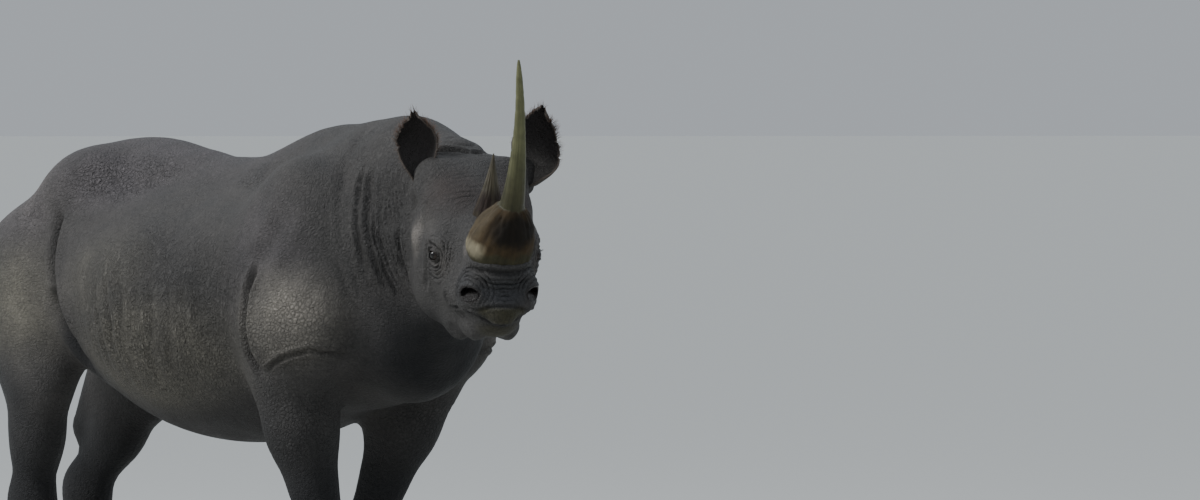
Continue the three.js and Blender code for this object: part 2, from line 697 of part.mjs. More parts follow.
function legRegions(leg) {
  const fore = leg.kind === 'fore';
  const top = fore ? FORE_UPPER_CUT : HIND_UPPER_CUT;
  const middle = fore ? FORE_LOWER_CUT : HIND_LOWER_CUT;
  const side = block(...(leg.side < 0 ? [[-FAR, -560, -1], [FAR, -58, FAR]] : [[-FAR, 58, -1], [FAR, 560, FAR]]));
  const pair = block([fore ? -700 : -FAR, -FAR, -1], [fore ? FAR : -700, FAR, FAR]);
  const column = legColumn(leg, 0);
  return [
    { name: 'upper_leg', from: middle + GAP / 2, to: top - GAP / 2, step: UPPER_LEG_NET, within: column },
    { name: 'lower_leg', from: FOOT_CUT + GAP / 2, to: middle - GAP / 2, step: LOWER_LEG_NET, within: side.intersect(pair) },
    { name: 'foot', from: 0, to: FOOT_CUT - GAP / 2, step: FOOT_NET, within: side.intersect(pair) },
  ];
}

function buildHead() {
  const [low, high] = cornersOf(...grown(HEAD_LOW, HEAD_HIGH, 2 * HEAD_NET), headTurn);
  const jawGap = block(...grown(jawLow, jawHigh, GAP / 2), headTurn);
  const jaw = block(...grown(jawLow, jawHigh, -GAP / 2), headTurn);
  const region = block(HEAD_LOW, HEAD_HIGH, headTurn);
  const seats = [frontHorn(SEAT_GAP), rearHorn(SEAT_GAP), eyeball(-1, SEAT_GAP), eyeball(1, SEAT_GAP)];
  add('head', surface(fleshIn(region, low, high, HEAD_NET, [jawGap, ...seats.map(solid)])), finishes.hide);
  add('lower_jaw', surface(fleshIn(jaw.intersect(region), low, high, HEAD_NET)), finishes.hide);

  // Each ear's root stops just outside the head.
  const clear = solid(net((p) => flesh(p) - EAR_CLEARANCE, low, high, HEAD_NET));
  for (const [name, ear] of Object.entries(EARS)) {
    add(`${name}_ear`, surface(largest(solid(earShell(ear)).subtract(clear))), finishes.hide);
  }
}

function buildNeck() {
  const headGap = block(...grown(HEAD_LOW, HEAD_HIGH, GAP), headTurn);
  const region = block([0, -FAR, -FAR], [FAR, FAR, FAR], neckFrame);
  const piece = fleshIn(region, [60, -420, 820], [960, 360, 1700], NECK_NET, [headGap]);
  add('neck', surface(piece), finishes.hide);
}

function buildTrunk() {
  const region = block([-FAR, -FAR, -FAR], [-GAP, FAR, FAR], neckFrame);
  const cutAway = [block(...grown(HEAD_LOW, HEAD_HIGH, GAP), headTurn), solid(tail(SEAT_GAP))];
  cutAway.push(slab(-FAR, LEGS_ALONE));
  for (const leg of Object.values(LEGS)) {
    const top = leg.kind === 'fore' ? FORE_UPPER_CUT : HIND_UPPER_CUT;
    cutAway.push(legColumn(leg, GAP / 2).intersect(slab(-FAR, top + GAP / 2)));
  }
  const piece = fleshIn(region, [-1800, -560, 560], [760, 560, 1740], TRUNK_NET, cutAway);
  add('trunk', surface(piece), finishes.hide);
}

function buildLeg(name, leg) {
  const xs = Object.values(leg.joints).map((j) => j[0]);
  const y = leg.side * leg.foot[1];
  for (const region of legRegions(leg)) {
    const margin = 2 * region.step;
    const low = [Math.min(...xs) - 420, y - 240, region.from - margin];
    const high = [Math.max(...xs) + 330, y + 240, region.to + margin];
    const toes = region.name === 'foot' ? [-1, 0, 1].map((toe) => solid(nail(leg, toe, GAP))) : [];
    const piece = fleshIn(region.within.intersect(slab(region.from, region.to)), low, high, region.step, toes);
    add(`${name}_${region.name}`, surface(piece), finishes.legs);
  }
  [-1, 0, 1].forEach((toe, i) => add(`${name}_nail_${i + 1}`, nail(leg, toe), finishes.nail));
}

buildHead();
buildNeck();
buildTrunk();
for (const [name, leg] of Object.entries(LEGS)) buildLeg(name, leg);
for (const [name, side] of [['right', -1], ['left', 1]]) {
  add(`${name}_eye`, eyeball(side), finishes.eye);
}
add('front_horn', surface(solid(frontHorn()).subtract(solid(rearHorn(SEAT_GAP)))), finishes.horn);
add('rear_horn', rearHorn(), finishes.horn);
add('tail', surface(solid(tail()).subtract(solid(tailBrush(SEAT_GAP)))), finishes.hide);
add('tail_brush', surface(solid(tailBrush())), finishes.bristle);

// The origin is on the floor, under the middle of the whole animal.
const box = new THREE.Box3().setFromObject(rhino);
rhino.position.set(-(box.min.x + box.max.x) / 2, -(box.min.y + box.max.y) / 2, 0);

export default rhino;
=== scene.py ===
"""A life-size black rhinoceros, standing, with its head turned to its right.

The flesh is one closed skin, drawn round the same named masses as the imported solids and
then sculpted with folds, creases and lids. Horns, eyes, nails and bristles are pieces of
their own. Working places are millimetres, X = 0 at the fore legs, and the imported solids
say where that is.
"""
import logging
import math
from dataclasses import dataclass, field, fields
from enum import Enum
from functools import partial
from typing import Callable, ClassVar

import bpy
import numpy as np
from bpy.types import Material, Mesh, Node, NodeSocket, NodeTree, Object
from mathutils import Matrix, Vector


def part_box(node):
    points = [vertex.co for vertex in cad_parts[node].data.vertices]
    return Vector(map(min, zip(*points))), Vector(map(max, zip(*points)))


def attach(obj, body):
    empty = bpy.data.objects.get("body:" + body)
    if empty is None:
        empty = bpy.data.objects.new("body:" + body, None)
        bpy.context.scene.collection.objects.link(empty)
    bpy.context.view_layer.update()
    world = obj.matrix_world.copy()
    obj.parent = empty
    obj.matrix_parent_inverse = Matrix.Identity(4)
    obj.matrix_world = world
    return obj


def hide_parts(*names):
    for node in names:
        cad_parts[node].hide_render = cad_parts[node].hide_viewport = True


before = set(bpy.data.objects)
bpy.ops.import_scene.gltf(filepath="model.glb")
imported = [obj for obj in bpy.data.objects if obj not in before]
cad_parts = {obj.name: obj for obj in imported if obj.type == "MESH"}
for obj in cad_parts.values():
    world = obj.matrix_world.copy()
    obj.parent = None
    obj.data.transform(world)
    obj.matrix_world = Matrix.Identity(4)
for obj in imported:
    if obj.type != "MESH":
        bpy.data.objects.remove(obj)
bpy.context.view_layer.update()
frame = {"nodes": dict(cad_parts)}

LOG = logging.getLogger("rhinoceros")
Vec = tuple[float, float, float]
Array = np.ndarray

# ---------- driving sizes, in mm
WITHERS_TOP, BACK_LOW, RUMP_TOP = 1606.0, 1466.0, 1552.0
BELLY_LOW, CHEST_LOW = 668.0, 752.0
BELLY_HALF_WIDTH, SHOULDER_HALF_WIDTH, HIP_HALF_WIDTH = 440.0, 376.0, 350.0
POLL: Vec = (700.0, -100.0, 1497.0)
HEAD_YAW, HEAD_PITCH = -25.5, 20.0
EYE_PLACE: Vec = (268.0, 137.0, -190.0)
EYE_RADIUS = 21.0
HEAD_BLEND = 30.0
TOE_ANGLE = 47.0
SOLE_ROUND = 14.0
FAR, NEAR = 400.0, 60.0  # the distance far from every mass, and how near a mass still counts


class Side(Enum):
    """A side of the animal; the value is the sign of y."""

    RIGHT = -1
    LEFT = 1


class LegKind(Enum):
    """Fore and hind legs are built of different masses."""

    FORE = "fore"
    HIND = "hind"


# ---------- small helpers
def smooth(t: Array) -> Array:
    """Eases 0..1, flat at both ends."""
    t = np.clip(t, 0.0, 1.0)
    return t * t * (3.0 - 2.0 * t)


def mix(a: Array, b: Array, t: Array) -> Array:
    """Goes from a to b as t goes from 0 to 1."""
    return a + (b - a) * t


def unit(v: Array) -> Array:
    """Each row at length 1."""
    return v / np.maximum(np.linalg.norm(v, axis=-1, keepdims=True), 1e-9)


def turn(axis: str, degrees: float) -> Array:
    """A rotation about one axis.

    Args:
        axis: "x", "y" or "z".
        degrees: The angle, by the right-hand rule.

    Returns:
        A 4 by 4 matrix.
    """
    c, s = math.cos(math.radians(degrees)), math.sin(math.radians(degrees))
    m = np.eye(4)
    i, j = {"x": (1, 2), "y": (2, 0), "z": (0, 1)}[axis]
    m[i, i], m[j, j], m[i, j], m[j, i] = c, c, -s, s
    return m


def shift(x: float, y: float, z: float) -> Array:
    """A 4 by 4 matrix that moves by x, y, z."""
    m = np.eye(4)
    m[:3, 3] = (x, y, z)
    return m


def place(matrix: Array, points: Array) -> Array:
    """Points after a 4 by 4 matrix."""
    return points @ matrix[:3, :3].T + matrix[:3, 3]


HEAD_TURN = shift(*POLL) @ turn("z", HEAD_YAW) @ turn("y", HEAD_PITCH)
HEAD_BACK = np.linalg.inv(HEAD_TURN)


def hashed(cells: Array, seed: int) -> Array:
    """A repeatable value in 0..1 for each lattice cell.

    Args:
        cells: Whole numbers, one row of three for each cell.
        seed: Picks another pattern.

    Returns:
        One value for each row.
    """
    n = cells.astype(np.int64) @ np.array([374761393, 668265263, 2147483647]) + seed * 1274126177
    n = (n ^ (n >> 13)) * 1274126177 & 0xFFFFFFFF
    n = (n ^ (n >> 16)) * 2246822519 & 0xFFFFFFFF
    return ((n ^ (n >> 15)) & 0xFFFFFF) / float(0xFFFFFF)


def noise(points: Array, size: float, seed: int = 0) -> Array:
    """Smooth noise between -1 and 1.

    Args:
        points: Places in mm, in rows or in a grid of rows.
        size: The width of one lump in mm.
        seed: Picks another pattern.

    Returns:
        One value for each point.
    """
    q = points.reshape(-1, 3) / size
    base = np.floor(q).astype(np.int64)
    f = q - base
    f = f * f * (3.0 - 2.0 * f)
    total = np.zeros(len(q))
    for corner in range(8):
        step = np.array([corner & 1, corner >> 1 & 1, corner >> 2 & 1])
        weight = np.prod(np.where(step, f, 1.0 - f), axis=1)
        total += weight * hashed(base + step, seed)
    return (total * 2.0 - 1.0).reshape(points.shape[:-1])


def drum(angle: Array, radius: float, height: Array) -> Array:
    """Places on a round drum, from the angle round it and the height on it."""
    return np.stack([np.cos(angle) * radius, np.sin(angle) * radius, height + 0.0 * angle], axis=-1)


def loft_grid(along: Array, columns: int) -> tuple[Array, Array]:
    """The place along and the angle round of each vertex of a loft, ring by ring."""
    angle = np.linspace(0.0, 2.0 * math.pi, columns, endpoint=False)
    along, angle = np.meshgrid(along, angle, indexing="ij")
    return along, angle


def halved(quad: Array) -> Array:
    """Two triangles for each face of four corners."""
    return np.concatenate([quad[:, [0, 1, 2]], quad[:, [0, 2, 3]]])


# ---------- masses
@dataclass(frozen=True)
class Ellipsoid:
    """A rounded mass.

    Attributes:
        centre: Its middle.
        radii: Half sizes along x, y and z.
        tilt: Degrees, nose up about y.
    """

    centre: Vec
    radii: Vec
    tilt: float = 0.0

    def reach(self) -> tuple[Array, Array]:
        """The low and high corners of a box round it."""
        r = max(self.radii[0], self.radii[2])
        half = np.array([r, self.radii[1], r]) if self.tilt else np.array(self.radii)
        return np.array(self.centre) - half, np.array(self.centre) + half

    def distance(self, p: Array) -> Array:
        """About how far each point is outside it; negative inside."""
        c, s = math.cos(math.radians(self.tilt)), math.sin(math.radians(self.tilt))
        d = p - np.array(self.centre)
        q = np.stack([c * d[:, 0] - s * d[:, 2], d[:, 1], s * d[:, 0] + c * d[:, 2]], axis=1)
        r = np.array(self.radii)
        near = np.linalg.norm(q / r, axis=1)
        slope = np.maximum(np.linalg.norm(q / r**2, axis=1), 1e-9)
        return np.where(near < 1e-6, -min(self.radii), near * (near - 1.0) / slope)


@dataclass(frozen=True)
class Limb:
    """A tapered capsule.

    Attributes:
        a: One end.
        b: The other end.
        ra: Radius at a.
        rb: Radius at b.
        flat: Below 1 it is thinner across y.
    """

    a: Vec
    b: Vec
    ra: float
    rb: float
    flat: float = 1.0

    def reach(self) -> tuple[Array, Array]:
        """The low and high corners of a box round it."""
        r = max(self.ra, self.rb)
        return np.minimum(self.a, self.b) - r, np.maximum(self.a, self.b) + r

    def distance(self, p: Array) -> Array:
        """About how far each point is outside it; negative inside."""
        squeeze = np.array([1.0, 1.0 / self.flat, 1.0])
        ab = (np.array(self.b) - np.array(self.a)) * squeeze
        q = (p - np.array(self.a)) * squeeze
        t = np.clip(q @ ab / (ab @ ab), 0.0, 1.0)
        away = np.linalg.norm(q - t[:, None] * ab, axis=1)
        return (away - (self.ra + (self.rb - self.ra) * t)) * self.flat


Mass = Ellipsoid | Limb
Masses = list[tuple[Mass, float]]


def blend(a: Array, b: Array, k: float) -> Array:
    """Joins two distances with a fillet of about k."""
    h = np.maximum(k - np.abs(a - b), 0.0) / k
    return np.minimum(a, b) - h * h * k / 4.0


def joined(masses: Masses, p: Array) -> Array:
    """The distance to all of the masses, joined one after another.

    Args:
        masses: Each mass with the radius of its blend.
        p: Places in mm.

    Returns:
        One distance for each point; FAR where no mass is near.
    """
    d = np.full(len(p), FAR)
    for mass, k in masses:
        low, high = mass.reach()
        margin = k + NEAR
        near = np.all((p > low - margin) & (p < high + margin), axis=1)
        if near.any():
            d[near] = blend(d[near], mass.distance(p[near]), k)
    return d


@dataclass(frozen=True)
class Leg:
    """One leg: joints as [x, out from the middle, z], and the foot's place on the floor."""

    side: Side
    kind: LegKind
    joints: tuple[Vec, Vec, Vec, Vec]
    foot: tuple[float, float]

    def at(self, joint: Vec) -> Vec:
        """A joint's place, on this leg's side."""
        return (joint[0], self.side.value * joint[1], joint[2])

    def masses(self) -> Masses:
        """The flesh of the whole leg."""
        return (self._fore() if self.kind is LegKind.FORE else self._hind()) + self._foot()

    def _fore(self) -> Masses:
        """Arm, forearm, wrist and cannon."""
        top, elbow, wrist, fetlock = self.joints
        forearm = ((elbow[0] * 2 + wrist[0]) / 3 - 4, (elbow[1] * 2 + wrist[1]) / 3, 715.0)
        point = (elbow[0] - 62, elbow[1] - 12, elbow[2] + 46)
        return [
            (Limb(self.at(top), self.at(elbow), 150, 112, 0.82), 70),
            (Limb(self.at(elbow), self.at(forearm), 112, 98, 0.94), 60),
            (Limb(self.at(forearm), self.at(wrist), 98, 64, 0.96), 60),
            (Ellipsoid(self.at((wrist[0] + 8, wrist[1], wrist[2] - 35)), (70, 68, 82)), 40),
            (Limb(self.at((wrist[0], wrist[1], wrist[2] - 60)), self.at(fetlock), 63, 66), 40),
            (Ellipsoid(self.at(point), (60, 62, 90), 24), 50),
        ]

    def _hind(self) -> Masses:
        """Thigh, shank, hock and cannon."""
        top, knee, hock, fetlock = self.joints
        shank = tuple((k + h) / 2 for k, h in zip(knee, hock))
        rear = (top[0] - 60, top[1] - 10, top[2] - 110)
        tendon = (hock[0], hock[1], hock[2] + 190)
        return [
            (Limb(self.at(top), self.at(knee), 196, 118, 0.6), 80),
            (Limb(self.at(rear), self.at(tendon), 160, 60, 0.6), 80),
            (Limb(self.at(knee), self.at(shank), 106, 78, 0.7), 60),
            (Limb(self.at(shank), self.at(hock), 78, 64, 0.82), 60),
            (Ellipsoid(self.at((hock[0] - 6, hock[1], hock[2] - 4)), (90, 60, 92), 10), 40),
            (Limb(self.at((hock[0] + 6, hock[1], hock[2] - 50)), self.at(fetlock), 64, 66), 40),
        ]

    def toe(self, toe: int, reach: float) -> tuple[float, float]:
        """Where a toe stands: toe is -1, 0 or 1, reach is from the foot's middle."""
        angle = math.radians(TOE_ANGLE * toe)
        y = self.side.value * self.foot[1]
        return self.foot[0] - 8 + reach * math.cos(angle), y + reach * math.sin(angle) * 0.96

    def _foot(self) -> Masses:
        """Pastern, pad and three toes."""
        fetlock, y = self.joints[3], self.side.value * self.foot[1]
        toes: Masses = []
        for toe in (-1, 0, 1):
            tx, ty = self.toe(toe, 78.0 if toe else 84.0)
            toes.append((Ellipsoid((tx, ty, 44), (46, 46, 50)), 26))
        return [
            (Limb(self.at(fetlock), (self.foot[0] - 12, y, 62), 68, 88), 40),
            (Ellipsoid((self.foot[0] - 8, y, 42), (112, 104, 66)), 36),
            *toes,
        ]


LEGS: dict[str, Leg] = {
    "right_fore": Leg(
        Side.RIGHT, LegKind.FORE,
        ((40, 262, 980), (22, 234, 850), (84, 184, 450), (88, 164, 150)), (104, 162),
    ),
    "left_fore": Leg(
        Side.LEFT, LegKind.FORE,
        ((10, 262, 980), (-24, 250, 850), (-166, 182, 450), (-192, 164, 150)), (-182, 162),
    ),
    "right_hind": Leg(
        Side.RIGHT, LegKind.HIND,
        ((-1325, 225, 1100), (-1272, 238, 850), (-1390, 194, 460), (-1374, 192, 150)), (-1358, 194),
    ),
    "left_hind": Leg(
        Side.LEFT, LegKind.HIND,
        ((-1350, 225, 1100), (-1392, 245, 830), (-1682, 202, 475), (-1652, 194, 150)), (-1628, 194),
    ),
}
TAIL_LINE: tuple[Vec, ...] = (
    (-1470, 0, 1300), (-1552, 0, 1288), (-1612, 0, 1240), (-1662, 0, 1160),
    (-1712, 2, 1060), (-1719, 4, 980), (-1722, 6, 900), (-1716, 10, 800),
)


class Flesh:
    """The whole body as one smooth field."""

    def trunk(self) -> Masses:
        """Barrel, chest, withers, pelvis and the muscles over them."""
        top = BACK_LOW - 22
        middle, half = (top + BELLY_LOW) / 2, (top - BELLY_LOW) / 2
        chest, chest_half = (CHEST_LOW + 1480) / 2, (1480 - CHEST_LOW) / 2 - 14
        pairs: Masses = []
        for centre, radii, tilt, k in (
            ((-1120, 172, RUMP_TOP - 126), (110, 96, 84), -22, 120),
            ((-1215, 160, RUMP_TOP - 214), (125, 104, 90), -30, 100),
            ((45, 232, 1220), (205, SHOULDER_HALF_WIDTH - 240, 280), 14, 130),
            ((85, 262, 1010), (205, SHOULDER_HALF_WIDTH - 262, 175), -20, 70),
            ((-1355, 195, 1085), (230, HIP_HALF_WIDTH - 195, 250), 0, 90),
        ):
            pairs += self._both(centre, radii, tilt, k)
        return [
            (Ellipsoid((-600, 0, middle + 12), (690, BELLY_HALF_WIDTH - 20, half - 10), 4), 1),
            (Ellipsoid((-500, 0, BELLY_LOW + 322), (470, BELLY_HALF_WIDTH, 318), 5), 90),
            (Ellipsoid((40, 0, chest), (410, 300, chest_half)), 120),
            (Ellipsoid((-250, 0, 1090), (330, 372, 366)), 90),
            (Ellipsoid((-960, 0, 1120), (300, 338, 300)), 90),
            (Ellipsoid((325, 0, 1010), (150, 180, 210), 12), 90),
            (Ellipsoid((10, 0, WITHERS_TOP - 238), (330, 150, 225), 4), 130),
            (Limb((-150, 0, BACK_LOW - 66), (-880, 0, BACK_LOW - 76), 88, 84), 130),
            (Ellipsoid((-1165, 0, RUMP_TOP - 352), (395, HIP_HALF_WIDTH - 54, 298), -18), 110),
            (Ellipsoid((-1090, 0, RUMP_TOP - 96), (200, 92, 88), -4), 90),
            (Ellipsoid((-890, 0, BACK_LOW - 38), (190, 120, 80), -4), 100),
            *pairs,
        ]

    def neck(self) -> Masses:
        """Neck, nuchal hump, crest and throat."""
        return [
            (Limb((200, -8, 1240), (545, -80, 1268), 272, 168, 0.84), 110),
            (Ellipsoid((265, -14, WITHERS_TOP - 176), (240, 128, 172), 6), 90),
            (Limb((330, -22, 1448), (572, -66, 1434), 148, 120, 0.95), 80),
            (Limb((330, -20, 1060), (600, -90, 1130), 176, 98, 0.85), 80),
        ]

    def tail(self) -> Masses:
        """The tail, down to its brush."""
        masses: Masses = []
        count = len(TAIL_LINE) - 1
        radii = [mix(50.0, 15.0, (i / count) ** 0.8) for i in range(count + 1)]
        for i in range(count):
            masses.append((Limb(TAIL_LINE[i], TAIL_LINE[i + 1], radii[i], radii[i + 1]), 26))
        return masses

    def head(self) -> Masses:
        """The head, in head coordinates: forward from the poll, left, up."""
        return [
            (Ellipsoid((60, 0, -122), (140, 118, 110)), 1),
            (Ellipsoid((0, 0, -62), (70, 134, 62)), 60),
            *self._both((-6, 108, -64), (60, 50, 54), 0, 50),
            *self._both((92, 98, -104), (92, 50, 56), 0, 60),
            (Limb((110, 0, -150), (330, 0, -158), 104, 84), 60),
            *self._both((185, 66, -112), (115, 68, 60), 10, 60),
            *self._both((290, 78, -258), (120, 54, 78), 0, 60),
            *self._both((220, 62, -352), (132, 52, 78), 18, 50),
            (Ellipsoid((306, 0, -122), (92, 74, 54), 8), 40),
            (Ellipsoid((432, 0, -140), (108, 90, 66), 10), 40),
            *self._both((250, 97, -172), (74, 46, 52), 10, 44),
            *self._both((150, 108, -225), (120, 56, 74), 6, 60),
            *self._both((104, 90, -326), (126, 78, 112), 0, 60),
            *self._both((72, 118, -196), (62, 50, 56), 0, 50),
            (Limb((330, 0, -222), (462, 0, -226), 96, 78), 60),
            *self._both((462, 64, -216), (62, 44, 52), 0, 34),
            (Ellipsoid((492, 0, -244), (62, 84, 40), -12), 34),
            (Ellipsoid((545, 0, -262), (30, 34, 30), -30), 30),
            *self._both((395, 62, -262), (80, 42, 38), -6, 40),
            (Limb((150, 0, -340), (440, 0, -312), 88, 47), 50),
            (Ellipsoid((456, 0, -314), (66, 60, 36), -8), 36),
            (Limb((-30, -130, -108), (-44, -138, -76), 34, 24), 20),
            (Limb((-32, 150, -86), (-50, 164, -52), 42, 30), 20),
            *self._both((345, 42, -345), (96, 32, 34), 8, 40),
            (Ellipsoid((296, 0, -112), (82, 76, 36), 14), 36),
        ]

    @staticmethod
    def _both(centre: Vec, radii: Vec, tilt: float, k: float) -> Masses:
        """The same mass on the right and on the left."""
        x, y, z = centre
        return [(Ellipsoid((x, side.value * y, z), radii, tilt), k) for side in Side]

    def distance(self, p: Array) -> Array:
        """How far each point is outside the flesh, in mm; negative inside.

        Args:
            p: Places in working mm.

        Returns:
            One distance for each point.
        """
        body = self.trunk() + self.neck()
        for leg in LEGS.values():
            body += leg.masses()
        body += self.tail()
        d = joined(body, p)
        near = p[:, 0] > 480
        if near.any():
            head = joined(self.head(), place(HEAD_BACK, p[near]))
            d[near] = blend(d[near], head, HEAD_BLEND)
        return -blend(-d, p[:, 2], SOLE_ROUND)

    def slope(self, p: Array, step: float) -> tuple[Array, Array]:
        """The distance at each point, and which way it grows."""
        d = self.distance(p)
        g = np.empty_like(p)
        for i in range(3):
            q = p.copy()
            q[:, i] += step
            g[:, i] = (self.distance(q) - d) / step
        return d, g


FLESH = Flesh()


# ---------- meshing
@dataclass
class Net:
    """A closed triangle mesh that is still being worked on.

    Attributes:
        points: One row for each vertex, in working mm.
        faces: Three vertex numbers for each triangle.
    """

    points: Array
    faces: Array

    def edges(self) -> tuple[Array, Array]:
        """Each edge once, and the three edges of each face."""
        pairs = np.sort(self.faces[:, [0, 1, 1, 2, 2, 0]].reshape(-1, 2), axis=1)
        keys = pairs[:, 0] * len(self.points) + pairs[:, 1]
        unique, inverse = np.unique(keys, return_inverse=True)
        ends = np.stack([unique // len(self.points), unique % len(self.points)], axis=1)
        return ends, inverse.reshape(-1, 3)

    def spacing(self) -> Array:
        """The longest edge of each face."""
        corners = self.points[self.faces]
        return np.linalg.norm(corners - np.roll(corners, 1, axis=1), axis=2).max(axis=1)

    def refine(self, chosen: Array) -> None:
        """Splits the chosen faces in four, and their neighbours to match.

        Args:
            chosen: True for each face to split.
        """
        ends, inverse = self.edges()
        split = np.zeros(len(ends), dtype=bool)
        split[inverse[chosen].ravel()] = True
        middle = np.full(len(ends), -1)
        middle[split] = len(self.points) + np.arange(split.sum())
        self.points = np.concatenate([self.points, self.points[ends[split]].mean(axis=1)])
        bits, mids = split[inverse], middle[inverse]
        count = bits.sum(axis=1)
        made = [self.faces[count == 0]]
        a, b, c = self.faces[count == 3].T
        ab, bc, ca = mids[count == 3].T
        made += [np.stack(t, axis=1) for t in ((a, ab, ca), (ab, b, bc), (ca, bc, c), (ab, bc, ca))]
        for k in range(3):
            f, s, m = (np.roll(rows, -k, axis=1) for rows in (self.faces, bits, mids))
            one = (count == 1) & s[:, 0]
            a, b, c = f[one].T
            made += [np.stack(t, axis=1) for t in ((a, m[one, 0], c), (m[one, 0], b, c))]
            two = (count == 2) & s[:, 0] & s[:, 1]
            a, b, c = f[two].T
            m0, m1 = m[two, 0], m[two, 1]
            made += [np.stack(t, axis=1) for t in ((m0, b, m1), (a, m0, m1), (a, m1, c))]
        self.faces = np.concatenate(made)

    def relax(self, amount: float, where: Array) -> None:
        """Moves vertices towards the middle of their neighbours.

        Args:
            amount: 0 leaves them, 1 takes them all the way.
            where: True for the vertices that may move.
        """
        ends, _ = self.edges()
        a, b = ends.T
        n = len(self.points)
        count = np.bincount(a, minlength=n) + np.bincount(b, minlength=n)
        mean = np.empty_like(self.points)
        for i in range(3):
            x = self.points[:, i]
            total = np.bincount(a, x[b], n) + np.bincount(b, x[a], n)
            mean[:, i] = total / np.maximum(count, 1)
        self.points = self.points + (mean - self.points) * amount * where[:, None]

    def face_out(self) -> None:
        """Turns all of the faces over if they face inwards."""
        corners = self.points[self.faces] - self.points[0]
        if np.einsum("ij,ij->", corners[:, 0], np.cross(corners[:, 1], corners[:, 2])) < 0:
            self.faces = self.faces[:, ::-1]

    @classmethod
    def together(cls, nets: list["Net"]) -> "Net":
        """Several meshes as one, with no vertex shared between them."""
        starts = np.cumsum([0] + [len(net.points) for net in nets[:-1]])
        faces = [net.faces + start for net, start in zip(nets, starts)]
        return cls(np.concatenate([net.points for net in nets]), np.concatenate(faces))


SLAB = 6  # how many layers of the grid are measured at once


def surface_net(distance: Callable[[Array], Array], low: Array, high: Array, step: float) -> Net:
    """Meshes a field: one vertex in each cell that its surface crosses.

    Args:
        distance: The field, negative inside.
        low: Low corner of the box to mesh.
        high: High corner of the box.
        step: The spacing of the grid.

    Returns:
        A closed mesh of triangles.
    """
    counts = np.ceil((high - low) / step).astype(int) + 1
    ys, zs = np.meshgrid(*(low[i] + np.arange(counts[i]) * step for i in (1, 2)), indexing="ij")
    value = np.empty(counts)
    for i in range(0, counts[0], SLAB):
        xs = low[0] + np.arange(i, min(i + SLAB, counts[0])) * step
        slab = [np.stack([np.full(ys.size, x), ys.ravel(), zs.ravel()], axis=1) for x in xs]
        value[i : i + len(xs)] = distance(np.concatenate(slab)).reshape(len(xs), *ys.shape)
    inside = value < 0
    shape = tuple(counts)
    size = int(np.prod(counts))
    total, hits, quads = np.zeros((size, 3)), np.zeros(size), []
    for axis in range(3):
        along = np.eye(3, dtype=int)[axis]
        upper = np.roll(inside, -1, axis=axis)
        edge = np.argwhere(inside != upper)
        edge = edge[edge[:, axis] < counts[axis] - 1]
        a = value[tuple(edge.T)]
        b = value[tuple((edge + along).T)]
        spot = edge + along * (a / (a - b))[:, None]
        u, w = np.eye(3, dtype=int)[(axis + 1) % 3], np.eye(3, dtype=int)[(axis + 2) % 3]
        ring = []
        for m, n in ((0, 0), (1, 0), (1, 1), (0, 1)):
            cell = np.ravel_multi_index(tuple((edge - m * u - n * w).T), shape)
            ring.append(cell)
            hits += np.bincount(cell, minlength=size)
            for i in range(3):
                total[:, i] += np.bincount(cell, spot[:, i], size)
        quad = np.stack(ring, axis=1)
        quads.append(np.where((a < 0)[:, None], quad, quad[:, ::-1]))
    used = np.flatnonzero(hits)
    number = np.full(size, -1)
    number[used] = np.arange(len(used))
    quad = number[np.concatenate(quads)]
    points = low + total[used] / hits[used][:, None] * step
    return Net(points, halved(quad))


def draw_onto_flesh(points: Array, step: float, passes: int) -> Array:
    """Draws points onto the surface of the flesh.

    Args:
        points: Places near it.
        step: The local mesh spacing, which limits each move.
        passes: How many times.

    Returns:
        The moved points.
    """
    p = points.copy()
    for _ in range(passes):
        d, g = FLESH.slope(p, 0.5)
        size = np.maximum((g * g).sum(axis=1), 0.25)
        p -= g * (np.clip(d, -0.5 * step, 0.5 * step) / size)[:, None]
    return p


# ---------- sculpting
class Frame(Enum):
    """The coordinates that a fold or zone is given in."""

    BODY = "body"
    HEAD = "head"


@dataclass
class Clay:
    """The skin's vertices while it is sculpted.

    Attributes:
        body: Places in working mm.
        head: The same places in head coordinates.
        rise: How far each vertex moves out along its normal.
        masks: Named strengths from 0 to 1, painted at the vertices.
    """

    body: Array
    head: Array
    rise: Array
    masks: dict[str, Array] = field(default_factory=dict)

    def where(self, frame_: Frame, mirrored: bool) -> Array:
        """The places in one frame, with the left side folded onto the right if mirrored."""
        p = (self.head if frame_ is Frame.HEAD else self.body).copy()
        if mirrored:
            p[:, 1] = -np.abs(p[:, 1])
        return p

    def paint(self, name: str, amount: Array, near: Array | slice = slice(None)) -> None:
        """Raises a mask to an amount, up to 1, at all vertices or at those near something."""
        mask = self.masks.setdefault(name, np.zeros(len(self.rise)))
        mask[near] = np.clip(np.maximum(mask[near], amount), 0.0, 1.0)


@dataclass(frozen=True)
class Zone:
    """A soft-edged ellipsoid that says where something holds.

    Attributes:
        centre: Its middle; y is negative, on the right side, if mirrored.
        radii: Half sizes, to where it has faded to nothing.
        frame: Body or head coordinates.
        mirrored: It holds on the left side too.
        core: The share of the radii inside which it is full.
    """

    centre: Vec
    radii: Vec
    frame: Frame = Frame.BODY
    mirrored: bool = True
    core: float = 0.35

    def share(self, clay: Clay) -> Array:
        """How much it holds at each vertex, 0 to 1."""
        p = clay.where(self.frame, self.mirrored)
        r = np.linalg.norm((p - np.array(self.centre)) / np.array(self.radii), axis=1)
        return smooth((1.0 - r) / (1.0 - self.core))


LINE_STEPS = (0.0, 0.25, 0.5, 0.75)  # where a crease's line is split, between two points
LINE_REACH = 60.0  # how far a crease's line may lie off the flesh, in mm
LINE_END = 0.18  # the share of a crease over which each of its ends fades
LIP_PLACE = 1.9  # where its lips are, in half widths from its middle


